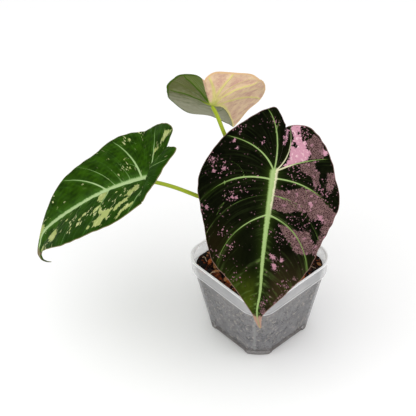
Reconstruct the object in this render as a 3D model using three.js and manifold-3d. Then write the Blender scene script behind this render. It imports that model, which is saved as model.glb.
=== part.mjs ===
// Potted black velvet alocasia: a square clear nursery pot with potting mix, and a plant of three leaves.
// Millimetres, +Z up. The origin is the middle of the pot's foot, on the surface that the pot stands on.
// The pot's sides lie along X and Y. The plant is drawn with -Y towards its front leaf, then turned.
import * as THREE from 'three';
import { mergeVertices } from 'three/addons/utils/BufferGeometryUtils.js';
import Module from 'manifold-3d';

// Driving dimensions: pot
const POT_HEIGHT = 67.6;
const RIM_HALF = 40;
const RIM_CORNER = 16;
const BAND_FOOT_HALF = 39.2;
const BAND_FOOT_Z = 55;
const BODY_WALL_TOP = 53;
const BAND_STEP = 0.9;
const LIP_ROUND = 0.6;
const BODY_TOP_HALF = 37.9;
const BODY_FOOT_HALF = 30;
const BODY_CORNER = 11.3;
const BODY_ROUNDNESS = 0.25;
const FOOT_EDGE_ROUND = 1;
const WALL = 1.2;
const LIP_WIDTH = 1.6;
const FLOOR_TOP_Z = 3.4;
const FOOT_LIFT = 2;
const FOOT_GAP_HALF = 16;
const CENTRE_PAD_RADIUS = 7;
const DRAIN_RADIUS = 3.2;
const DRAIN_CENTRE = 11;
const CORNER_STEPS = 6;

// Driving dimensions: potting mix and crown
const GAP = 0.3;
const MIX_EDGE_Z = 57.5;
const MIX_MIDDLE_Z = 30;
const MIX_MOUND = 2.2;
const MIX_ROUGHNESS = 1.3;
const MIX_RINGS = 9;
const CHIP_COUNT = 44;
const CHIP_LENGTH = [4, 9.5];
const CHIP_THICKNESS = [1.4, 3];
const CHIP_REACH = 31;
const CHIP_CORNER_REACH = 49;
const CHIP_CLEAR_OF_CROWN = 12;
const CROWN_RADIUS = 7;
const CROWN_TOP_RADIUS = 5.8;
const CROWN_FOOT_Z = 48;
const CROWN_NECK_Z = 58;
const CROWN_TOP_Z = 65;
const CROWN_HOLE_DEPTH = 40;
const CROWN_SIDES = 20;
const STALK_RISE = 6;

// Driving dimensions: plant
const PLANT_TURN = 48;
const BLADE_THICKNESS = 0.8;
const VEIN_DIP = 0.7;
const MIDRIB_DIP = 0.6;
const ROWS_PER_SPAN = 4;
const COLUMN_FRACTIONS = [0, 0.28, 0.52, 0.72, 0.88, 1];
const JUNCTION_POINT = 5;
const VEIN_POINTS = [3, 5, 7, 9.5];
const PETIOLE_SIDES = 8;
const PETIOLE_STEPS = 26;
const SHEATH_RADIUS = 2.3;
const STALK_RADIUS = 1.65;
const STALK_TIP_RADIUS = 1.35;

// Where each margin point's row starts on the midrib, as a share of the way from the junction to the tip
const MIDRIB_SHARE = [1, 0.9, 0.7, 0.48, 0.25, 0];

// Each blade: the place of its junction, the direction and bend of its midrib, and the margin of each half
// as [across, along] from the tip round the lobe to the sinus. Angles are in degrees.
const LEAVES = [
  {
    name: 'front',
    junction: [8.8, -9.9, 155.3],
    heading: 255.5, droop: 46.5, roll: 4.7,
    fold: 7.5, curl: 4.8, halfWidth: 48, tipBend: 14.3, lobeBend: 10.4, twist: 0,
    wave: 1.3, tailFrom: 103, tailTurn: 25,
    left: [[4, -108], [-3, -98], [-19, -80], [-34, -65], [-42, -45], [-51, -18],
      [-47, 3], [-37, 21], [-24, 32], [-12, 41], [-4, 44], [-0.9, 38]],
    right: [[4, -108], [8, -98], [20, -81], [32, -65], [39, -45], [47, -18],
      [43, 1], [36, 19], [22, 32], [13, 35], [6, 36], [2, 31]],
    color: 0x10190a, roughness: 0.75, stalkLean: 0.3,
    stem: [[1.5, -2.6], [3.5, 0, 80], [6.5, 4, 112], [9.2, 3.5, 138], [9.9, -3.6, 150]],
  },
  {
    name: 'left',
    junction: [-78.7, -4, 147.2],
    heading: 183.3, droop: 14.5, roll: 4.8,
    fold: 22.5, curl: 9.3, halfWidth: 45, tipBend: 54.1, lobeBend: 55.9, twist: 6.8,
    wave: 1.6, tailFrom: 104, tailTurn: 95,
    left: [[-5, -117], [-7, -101], [-20, -77], [-27, -60], [-34, -41], [-45, -17],
      [-44, 4], [-37, 22], [-26, 33], [-16, 39], [-12, 41], [-10, 33]],
    right: [[-5, -117], [3, -102], [23, -79], [37, -65], [44, -45], [47, -20],
      [38, -1], [33, 19], [23, 31], [12, 38], [6, 38], [2.5, 33]],
    color: 0x27520f, roughness: 0.35, stalkLean: 1,
    stem: [[-3, 0], [-6.5, -0.3, 82], [-15, -0.9, 102], [-27.5, -1.6, 118.5], [-43.4, -2.2, 128.1],
      [-59.8, -3, 137.6], [-71.6, -3.5, 142.6]],
  },
  {
    name: 'back',
    junction: [-32.4, 29.5, 184.1],
    heading: 71.4, droop: 48.6, roll: -16.5,
    fold: 23.5, curl: 1.9, halfWidth: 36, tipBend: 2.5, lobeBend: 38.4, twist: 9.3,
    wave: 1.1, tailFrom: 76, tailTurn: 15,
    left: [[1, -79], [-4, -71], [-14, -58], [-26, -49], [-32, -34], [-36, -13],
      [-36, 3], [-31, 18], [-19, 26], [-9, 31], [-4, 31], [-1, 26]],
    right: [[1, -79], [4, -70], [14, -58], [27, -49], [33, -35], [33, -13],
      [31, 4], [27, 19], [20, 29], [10, 33], [4, 32], [1, 26]],
    color: 0x6a7450, roughness: 0.6, stalkLean: 1,
    stem: [[1.5, 2.6], [0.5, 4, 84], [-5, 7.5, 112], [-13.5, 12.5, 138], [-24, 20, 164.9],
      [-29.6, 26, 178.6]],
  },
];

const wasm = await Module();
wasm.setup();

const radians = THREE.MathUtils.degToRad;
const lerp = THREE.MathUtils.lerp;

// A small seeded generator, so every build places the same chips and bumps
function seededRandom(seed) {
  let state = seed >>> 0;
  return () => {
    state = (state + 0x6d2b79f5) >>> 0;
    let t = Math.imul(state ^ (state >>> 15), 1 | state);
    t = (t + Math.imul(t ^ (t >>> 7), 61 | t)) ^ t;
    return ((t ^ (t >>> 14)) >>> 0) / 4294967296;
  };
}

function geometryOf(positions, indices) {
  const geometry = new THREE.BufferGeometry();
  geometry.setAttribute('position', new THREE.Float32BufferAttribute(positions, 3));
  geometry.setIndex(indices);
  return geometry;
}

function solidOf(geometry) {
  const bare = geometry.clone();
  bare.deleteAttribute('normal');
  bare.deleteAttribute('uv');
  const merged = mergeVertices(bare, 1e-4);
  return new wasm.Manifold(new wasm.Mesh({
    numProp: 3,
    vertProperties: new Float32Array(merged.attributes.position.array),
    triVerts: new Uint32Array(merged.index.array),
  }));
}

function geometryFromSolid(solid) {
  const mesh = solid.getMesh();
  return geometryOf(Array.from(mesh.vertProperties), Array.from(mesh.triVerts));
}

function meshOf(name, geometry, color, roughness, extra = {}) {
  geometry.computeVertexNormals();
  const material = new THREE.MeshStandardMaterial({ color, roughness, metalness: 0, ...extra });
  const mesh = new THREE.Mesh(geometry, material);
  mesh.name = name;
  return mesh;
}

// Pot

// One closed section of the pot, counterclockwise: straight sides, and corners between a plain chamfer
// (roundness 0) and a full arc (roundness 1)
function potSection(half, corner, roundness) {
  const points = [];
  for (let quarter = 0; quarter < 4; quarter += 1) {
    for (let step = 0; step <= CORNER_STEPS; step += 1) {
      const share = step / CORNER_STEPS;
      const angle = share * Math.PI / 2;
      const x = half - corner + corner * lerp(1 - share, Math.cos(angle), roundness);
      const y = half - corner + corner * lerp(share, Math.sin(angle), roundness);
      points.push(new THREE.Vector2(x, y).rotateAround(new THREE.Vector2(), quarter * Math.PI / 2));
    }
  }
  return points;
}

// A closed skin through rings of [x, y, z] points, each ring counterclockwise and joined to the next, with a
// fan to a middle point at both ends
function ringSkin(rings, lowMiddle, highMiddle) {
  const count = rings[0].length;
  const positions = [...rings.flat(2), ...lowMiddle, ...highMiddle];
  const low = rings.length * count;
  const last = low - count;
  const indices = [];
  for (let i = 0; i < count; i += 1) {
    const next = (i + 1) % count;
    for (let from = 0; from < last; from += count) {
      const to = from + count;
      indices.push(from + i, from + next, to + next, from + i, to + next, to + i);
    }
    indices.push(low, next, i, low + 1, last + i, last + next);
  }
  return geometryOf(positions, indices);
}

function ringAt(z, section) {
  return section.map((point) => [point.x, point.y, z]);
}

// A solid through a stack of sections [z, points], capped flat at both ends
function loft(stack) {
  const rings = stack.map(([z, section]) => ringAt(z, section));
  return ringSkin(rings, [0, 0, stack[0][0]], [0, 0, stack.at(-1)[0]]);
}

function upright(radius, height, segments, x, y, z) {
  const cylinder = new THREE.CylinderGeometry(radius, radius, height, segments);
  return cylinder.rotateX(Math.PI / 2).translate(x, y, z);
}

// Half-size of the pot's body at a height, on the outside
function bodyHalf(z) {
  return lerp(BODY_FOOT_HALF, BODY_TOP_HALF, z / BAND_FOOT_Z);
}

function innerSection(z, clearance) {
  const inset = WALL + clearance;
  if (z <= BODY_WALL_TOP) {
    return potSection(bodyHalf(z) - inset, BODY_CORNER - inset / 2, BODY_ROUNDNESS);
  }
  const share = (z - BODY_WALL_TOP) / (POT_HEIGHT - BODY_WALL_TOP);
  const half = lerp(BODY_TOP_HALF, RIM_HALF - LIP_WIDTH + WALL, Math.sqrt(share));
  const corner = lerp(BODY_CORNER, RIM_CORNER, Math.sqrt(share));
  return potSection(half - inset, corner - inset / 2, lerp(BODY_ROUNDNESS, 1, Math.sqrt(share)));
}

const INNER_HEIGHTS = [FLOOR_TOP_Z, BODY_WALL_TOP, BAND_FOOT_Z + 2, BAND_FOOT_Z + 7, POT_HEIGHT];

function potGeometry() {
  const outside = loft([
    [0, potSection(BODY_FOOT_HALF - FOOT_EDGE_ROUND, BODY_CORNER, BODY_ROUNDNESS)],
    [FOOT_EDGE_ROUND, potSection(bodyHalf(FOOT_EDGE_ROUND), BODY_CORNER, BODY_ROUNDNESS)],
    [BAND_FOOT_Z - BAND_STEP, potSection(bodyHalf(BAND_FOOT_Z), BODY_CORNER, BODY_ROUNDNESS)],
    [BAND_FOOT_Z, potSection(BAND_FOOT_HALF, RIM_CORNER, 1)],
    [POT_HEIGHT - LIP_ROUND, potSection(RIM_HALF, RIM_CORNER, 1)],
    [POT_HEIGHT, potSection(RIM_HALF - LIP_ROUND / 2, RIM_CORNER, 1)],
  ]);
  const inner = INNER_HEIGHTS.map((z) => [z, innerSection(z, 0)]);
  inner.push([POT_HEIGHT + 1, innerSection(POT_HEIGHT, 0)]);
  let pot = solidOf(outside).subtract(solidOf(loft(inner)));
  const across = BODY_TOP_HALF * 2;
  const slotHeight = FOOT_LIFT * 2;
  pot = pot.subtract(solidOf(new THREE.BoxGeometry(across, FOOT_GAP_HALF * 2, slotHeight)));
  pot = pot.subtract(solidOf(new THREE.BoxGeometry(FOOT_GAP_HALF * 2, across, slotHeight)));
  const padHeight = FLOOR_TOP_Z - 0.2;
  pot = pot.add(solidOf(upright(CENTRE_PAD_RADIUS, padHeight, 24, 0, 0, padHeight / 2)));
  for (const x of [-DRAIN_CENTRE, DRAIN_CENTRE]) {
    for (const y of [-DRAIN_CENTRE, DRAIN_CENTRE]) {
      pot = pot.subtract(solidOf(upright(DRAIN_RADIUS, FLOOR_TOP_Z * 4, 16, x, y, 0)));
    }
  }
  return geometryFromSolid(pot);
}

// Potting mix

// Height of the mix's top at a place, mounded to the crown and lumpy all over
function mixHeight(x, y) {
  const out = Math.min(1, Math.hypot(x, y) / RIM_HALF);
  const lumps = Math.sin(x * 0.55 + 1.3) * Math.sin(y * 0.49 + 0.4) + 0.7 * Math.sin(x * 0.23 - y * 0.31);
  const fine = 0.5 * Math.sin(x * 1.1 + y * 0.7) * Math.sin(y * 1.3 - x * 0.4);
  return MIX_EDGE_Z + MIX_MOUND * (1 - out * out) + MIX_ROUGHNESS * 0.5 * (lumps + fine);
}

// The mix fills the pot up to the edge height, and its top is a fan of lumpy rings
function mixBody() {
  const sideHeights = [FLOOR_TOP_Z + GAP, MIX_MIDDLE_Z, BODY_WALL_TOP - GAP, MIX_EDGE_Z];
  const rings = sideHeights.map((z) => ringAt(z, innerSection(Math.max(z - GAP, FLOOR_TOP_Z), GAP)));
  const edge = rings.at(-1);
  for (let ring = 1; ring < MIX_RINGS; ring += 1) {
    const share = 1 - ring / MIX_RINGS;
    rings.push(edge.map(([x, y]) => [x * share, y * share, mixHeight(x * share, y * share)]));
  }
  return solidOf(ringSkin(rings, [0, 0, FLOOR_TOP_Z + GAP], [0, 0, mixHeight(0, 0)]));
}

// A bark chip: a flat box with its corners pulled in unevenly, half sunk in the mix
function barkChip(random) {
  const length = lerp(CHIP_LENGTH[0], CHIP_LENGTH[1], random());
  const thickness = lerp(CHIP_THICKNESS[0], CHIP_THICKNESS[1], random());
  const chip = new THREE.BoxGeometry(length, length * lerp(0.45, 0.75, random()), thickness);
  chip.deleteAttribute('normal');
  chip.deleteAttribute('uv');
  const merged = mergeVertices(chip);
  const place = merged.attributes.position;
  for (let i = 0; i < place.count; i += 1) {
    const pull = lerp(0.72, 1, random());
    place.setXYZ(i, place.getX(i) * pull, place.getY(i) * lerp(0.7, 1, random()), place.getZ(i));
  }
  merged.rotateX(lerp(-0.4, 0.4, random()));
  merged.rotateY(lerp(-0.4, 0.4, random()));
  merged.rotateZ(random() * Math.PI);
  return merged;
}

function mixGeometry() {
  const random = seededRandom(11);
  let mix = mixBody();
  let placed = 0;
  while (placed < CHIP_COUNT) {
    const x = lerp(-CHIP_REACH, CHIP_REACH, random());
    const y = lerp(-CHIP_REACH, CHIP_REACH, random());
    const chip = barkChip(random);
    const inCorner = Math.abs(x) + Math.abs(y) > CHIP_CORNER_REACH;
    if (inCorner || Math.hypot(x, y) < CHIP_CLEAR_OF_CROWN) continue;
    mix = mix.add(solidOf(chip.translate(x, y, mixHeight(x, y) + 0.1)));
    placed += 1;
  }
  const holeMiddle = CROWN_FOOT_Z - GAP + CROWN_HOLE_DEPTH / 2;
  const hole = upright(CROWN_RADIUS + GAP, CROWN_HOLE_DEPTH, CROWN_SIDES, 0, 0, holeMiddle);
  return geometryFromSolid(mix.subtract(solidOf(hole)));
}

// Crown: the short stem that the leaf stalks rise from
function crownGeometry() {
  const profile = [
    [0, CROWN_FOOT_Z], [CROWN_RADIUS - 1.5, CROWN_FOOT_Z], [CROWN_RADIUS, CROWN_FOOT_Z + 2],
    [CROWN_RADIUS, CROWN_NECK_Z], [CROWN_TOP_RADIUS, CROWN_TOP_Z], [0, CROWN_TOP_Z],
  ];
  const lathe = new THREE.LatheGeometry(profile.map(([x, z]) => new THREE.Vector2(x, z)), CROWN_SIDES);
  return geometryFromSolid(solidOf(lathe.rotateX(Math.PI / 2)));
}

// Leaf blades

// A blade's middle line bends down towards the tip and up into the lobes. The tail turns further.
function bendAngle(leaf, along) {
  if (along > 0) return radians(leaf.lobeBend) * (1 - Math.exp(-along / 12));
  const out = -along;
  const tail = Math.max(0, out - leaf.tailFrom) / 12;
  return radians(leaf.tipBend) * (out / 100) ** 1.3 + radians(leaf.tailTurn) * tail;
}

function middleLine(leaf, along) {
  const steps = 24;
  let y = 0;
  let z = 0;
  for (let i = 0; i < steps; i += 1) {
    const angle = bendAngle(leaf, along * (i + 0.5) / steps);
    y += Math.cos(angle) * along / steps;
    z += Math.sin(angle) * Math.abs(along) / steps * Math.sign(along);
  }
  return [y, z];
}

// A point of the blade's middle surface in its own axes: x across, y to the lobes, z out of the top side
function bladePoint(leaf, across, along) {
  const [y, z] = middleLine(leaf, along);
  const angle = bendAngle(leaf, along);
  const soft = 2;
  const folded = Math.tan(radians(leaf.fold)) * (Math.hypot(across, soft) - soft);
  const height = folded - leaf.curl * (across / leaf.halfWidth) ** 2;
  const twist = radians(leaf.twist) * along / 100;
  const x = across * Math.cos(twist) - height * Math.sin(twist);
  const h = across * Math.sin(twist) + height * Math.cos(twist);
  return new THREE.Vector3(x, y - Math.sin(angle) * h, z + Math.cos(angle) * h);
}

function bladeNormal(leaf, across, along) {
  const step = 0.4;
  const side = bladePoint(leaf, across + step, along).sub(bladePoint(leaf, across - step, along));
  const up = bladePoint(leaf, across, along + step).sub(bladePoint(leaf, across, along - step));
  return side.cross(up).normalize();
}

// The margin of one half as a smooth curve through its points: whole numbers of at are the points
function marginPoint(points, at) {
  const last = points.length - 1;
  const span = Math.min(Math.floor(at), last - 1);
  const t = at - span;
  const b = points[span];
  const c = points[span + 1];
  const a = points[span - 1] ?? [2 * b[0] - c[0], 2 * b[1] - c[1]];
  const d = points[span + 2] ?? [2 * c[0] - b[0], 2 * c[1] - b[1]];
  return [0, 1].map((k) => 0.5 * (2 * b[k] + (c[k] - a[k]) * t
    + (2 * a[k] - 5 * b[k] + 4 * c[k] - d[k]) * t * t
    + (3 * b[k] - a[k] - 3 * c[k] + d[k]) * t * t * t));
}

// Where the row that ends at this margin point starts: on the midrib, or at the junction for the lobe
function rowStart(points, at) {
  if (at >= JUNCTION_POINT) return [0, 0];
  const span = Math.floor(at);
  const share = lerp(MIDRIB_SHARE[span], MIDRIB_SHARE[span + 1], at - span);
  return [points[0][0] * share ** 3, points[0][1] * share];
}

function relief(leaf, at, share, phase) {
  const wave = leaf.wave * share ** 3 * Math.sin(at * 2.4 + phase) * Math.min(1, at / 2);
  const nearest = Math.min(...VEIN_POINTS.map((vein) => Math.abs(at - vein)));
  const vein = nearest < 0.5 / ROWS_PER_SPAN ? VEIN_DIP * (1 - share) ** 0.5 : 0;
  const midrib = share === 0 && at < JUNCTION_POINT ? MIDRIB_DIP * Math.min(1, at) : 0;
  return wave - Math.max(vein, midrib);
}

// The closed blade: both halves share the midrib and the junction, and both faces are split alike
function bladeGeometry(leaf) {
  const spans = leaf.left.length - 1;
  const rowCount = spans * ROWS_PER_SPAN;
  const bodyRows = JUNCTION_POINT * ROWS_PER_SPAN;
  const columns = COLUMN_FRACTIONS.length;
  const positions = [];
  const ids = new Map();
  const place = (key, across, along, lift) => {
    if (!ids.has(key)) {
      ids.set(key, positions.length / 6);
      const normal = bladeNormal(leaf, across, along);
      const middle = bladePoint(leaf, across, along).addScaledVector(normal, lift);
      const top = middle.clone().addScaledVector(normal, BLADE_THICKNESS / 2);
      const back = middle.addScaledVector(normal, -BLADE_THICKNESS / 2);
      positions.push(...top.toArray(), ...back.toArray());
    }
    return ids.get(key);
  };
  const indices = [];
  // Vertex 2k is on the top face and 2k + 1 under it
  const facet = (a, b, c) => {
    if (a === b || b === c || a === c) return;
    indices.push(2 * a, 2 * b, 2 * c, 2 * c + 1, 2 * b + 1, 2 * a + 1);
  };
  const wall = (a, b) => {
    if (a !== b) indices.push(2 * a, 2 * a + 1, 2 * b + 1, 2 * a, 2 * b + 1, 2 * b);
  };
  for (const side of ['left', 'right']) {
    const points = leaf[side];
    const phase = side === 'left' ? 0.6 : 2.9;
    const vertex = (row, column) => {
      const at = row / ROWS_PER_SPAN;
      const share = COLUMN_FRACTIONS[column];
      const start = rowStart(points, at);
      const end = marginPoint(points, at);
      let key = `${side} ${row} ${column}`;
      if (row === 0) key = 'tip';
      else if (column === 0) key = row < bodyRows ? `midrib ${row}` : 'junction';
      const across = lerp(start[0], end[0], share);
      const along = lerp(start[1], end[1], share);
      return place(key, across, along, relief(leaf, at, share, phase));
    };
    const outward = side === 'right';
    for (let row = 0; row < rowCount; row += 1) {
      for (let column = 0; column + 1 < columns; column += 1) {
        const a = vertex(row, column);
        const b = vertex(row, column + 1);
        const c = vertex(row + 1, column + 1);
        const d = vertex(row + 1, column);
        if (outward) {
          facet(a, b, c);
          facet(a, c, d);
        } else {
          facet(a, c, b);
          facet(a, d, c);
        }
      }
      const from = vertex(row, columns - 1);
      const to = vertex(row + 1, columns - 1);
      if (outward) wall(from, to);
      else wall(to, from);
    }
    for (let column = columns - 1; column > 0; column -= 1) {
      const from = vertex(rowCount, column);
      const to = vertex(rowCount, column - 1);
      if (outward) wall(from, to);
      else wall(to, from);
    }
  }
  return geometryOf(positions, indices);
}

// The blade's own axes as a rotation of the plant's
function bladeRotation(leaf) {
  const heading = radians(leaf.heading);
  const droop = radians(leaf.droop);
  const down = new THREE.Vector3(
    Math.cos(heading) * Math.cos(droop), Math.sin(heading) * Math.cos(droop), -Math.sin(droop));
  const side = new THREE.Vector3(-Math.sin(heading), Math.cos(heading), 0);
  const top = new THREE.Vector3().crossVectors(down, side).applyAxisAngle(down, radians(leaf.roll));
  const along = down.clone().negate();
  const across = new THREE.Vector3().crossVectors(along, top);
  return new THREE.Matrix4().makeBasis(across, along, top);
}

// Leaf stalks

// A stalk starts flat on the crown and ends just under the back of its blade, at the junction. It meets the
// blade end on with a stalkLean of 0, and lies along its back with 1.
function stalkPoints(leaf) {
  const back = new THREE.Vector3().setFromMatrixColumn(bladeRotation(leaf), 2).negate();
  const reach = BLADE_THICKNESS / 2 + MIDRIB_DIP + GAP + leaf.stalkLean * STALK_TIP_RADIUS;
  const end = new THREE.Vector3(...leaf.junction).addScaledVector(back, reach);
  const [foot, ...way] = leaf.stem;
  const start = new THREE.Vector3(foot[0], foot[1], CROWN_TOP_Z + GAP);
  const rise = start.clone().setZ(CROWN_TOP_Z + STALK_RISE);
  return [start, rise, ...way.map((point) => new THREE.Vector3(...point)), end];
}

function stalkRadius(share) {
  const sheath = Math.exp(-share * 9);
  return lerp(lerp(STALK_RADIUS, STALK_TIP_RADIUS, share), SHEATH_RADIUS, sheath);
}

function stalkGeometry(leaf) {
  const path = new THREE.CatmullRomCurve3(stalkPoints(leaf), false, 'centripetal');
  const circle = new THREE.Shape(Array.from({ length: PETIOLE_SIDES }, (unused, i) => {
    const angle = i / PETIOLE_SIDES * Math.PI * 2;
    return new THREE.Vector2(Math.cos(angle), Math.sin(angle));
  }));
  const options = { steps: PETIOLE_STEPS, bevelEnabled: false, extrudePath: path };
  const tube = new THREE.ExtrudeGeometry(circle, options);
  const centres = path.getSpacedPoints(PETIOLE_STEPS);
  const place = tube.attributes.position;
  const point = new THREE.Vector3();
  for (let i = 0; i < place.count; i += 1) {
    point.fromBufferAttribute(place, i);
    const near = centres.reduce((best, centre, k) => (
      centre.distanceTo(point) < centres[best].distanceTo(point) ? k : best), 0);
    const spoke = point.clone().sub(centres[near]).setLength(stalkRadius(near / PETIOLE_STEPS));
    point.copy(centres[near]).add(spoke);
    place.setXYZ(i, point.x, point.y, point.z);
  }
  return geometryFromSolid(solidOf(tube));
}

// Assembly

const plant = new THREE.Group();
plant.rotation.z = radians(PLANT_TURN);
plant.add(meshOf('crown', crownGeometry(), 0x6f6a35, 0.7));
for (const leaf of LEAVES) {
  plant.add(meshOf(`petiole_${leaf.name}`, stalkGeometry(leaf), 0xa2b748, 0.45));
  const blade = meshOf(`blade_${leaf.name}`, bladeGeometry(leaf), leaf.color, leaf.roughness);
  blade.position.set(...leaf.junction);
  blade.quaternion.setFromRotationMatrix(bladeRotation(leaf));
  plant.add(blade);
}

const object = new THREE.Group();
object.add(meshOf('pot', potGeometry(), 0xc4c7c9, 0.35, { transparent: true, opacity: 0.55 }));
object.add(meshOf('potting_mix', mixGeometry(), 0x2d1c13, 0.95));
object.add(plant);

export default object;
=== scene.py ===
"""Potted black velvet alocasia with pink variegation: the looks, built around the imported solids.

Sizes are in millimetres up to make_mesh, which writes metres. The plant is drawn with -Y towards its front
leaf, as the camera sees it, then turned by PLANT_TURN to the pot's own axes.
"""

import math

import bmesh
import bpy
import numpy as np
from mathutils import Matrix


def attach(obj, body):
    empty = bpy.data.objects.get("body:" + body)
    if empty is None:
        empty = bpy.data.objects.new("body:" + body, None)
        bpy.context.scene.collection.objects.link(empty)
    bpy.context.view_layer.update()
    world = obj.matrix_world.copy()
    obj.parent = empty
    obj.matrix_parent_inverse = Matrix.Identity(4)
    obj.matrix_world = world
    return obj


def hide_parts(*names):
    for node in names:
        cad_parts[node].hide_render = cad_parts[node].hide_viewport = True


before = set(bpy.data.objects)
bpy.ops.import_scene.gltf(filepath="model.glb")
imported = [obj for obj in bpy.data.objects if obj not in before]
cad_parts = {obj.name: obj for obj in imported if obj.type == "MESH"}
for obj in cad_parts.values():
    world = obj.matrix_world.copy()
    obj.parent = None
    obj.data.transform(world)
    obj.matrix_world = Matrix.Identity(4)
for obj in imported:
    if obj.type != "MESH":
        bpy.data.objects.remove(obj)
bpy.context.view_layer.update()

MM = 0.001
PLANT_TURN = 48

# Pot and mix, as in the solids
POT_HEIGHT = 67.6
RIM_HALF, RIM_CORNER = 40, 16
BAND_FOOT_HALF, BAND_FOOT_Z = 39.2, 55
BODY_TOP_HALF, BODY_FOOT_HALF = 37.9, 30
BODY_CORNER, BODY_ROUNDNESS = 11.3, 0.25
BODY_WALL_TOP = 53
WALL, LIP_WIDTH = 1.2, 1.6
FLOOR_TOP_Z = 3.4
FOOT_LIFT, FOOT_GAP_HALF = 2, 16
CENTRE_PAD_RADIUS, DRAIN_RADIUS, DRAIN_CENTRE = 7, 3.2, 11
GAP = 0.3
MIX_EDGE_Z, MIX_MOUND = 57.5, 2.2
CROWN_RADIUS, CROWN_FOOT_Z, CROWN_TOP_Z = 7, 48, 65
STALK_RISE = 6
BLADE_THICKNESS, MIDRIB_DIP = 0.8, 0.6
SHEATH_RADIUS, STALK_RADIUS, STALK_TIP_RADIUS = 2.3, 1.65, 1.35
STALK_STEPS = 90

# Near lobe of the left leaf, where its form leaves the solid's: how it rises, rolls down and ruffles
LOBE_RISE, LOBE_ROLL, LOBE_RUFFLE = 9, 0.55, 4.5

# Relief of the blades: swelling between the veins, small waves of the skin, sunk veins, and ridges and dips
# on the back. Then half a blade's thickness at its edge and further in.
PILLOW, CRINKLE, VEIN_DIP, BACK_RIDGE, BACK_DIP = 0.55, 0.16, 0.55, 0.6, 0.2
HALF_EDGE, HALF_BODY = 0.16, 0.36

# What lies on the mix: how many, how far out, how far into the cut corners and how near the crown
MIX_SEED = 19
SCRAPS, BIG_SCRAPS, FIBRES = 900, 240, 80
SCRAP_REACH, SCRAP_CORNER, SCRAP_CLEAR = 36.5, 64, 8.5
FIBRE_REACH, FIBRE_CORNER, FIBRE_CLEAR = 33, 61, 9

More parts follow.
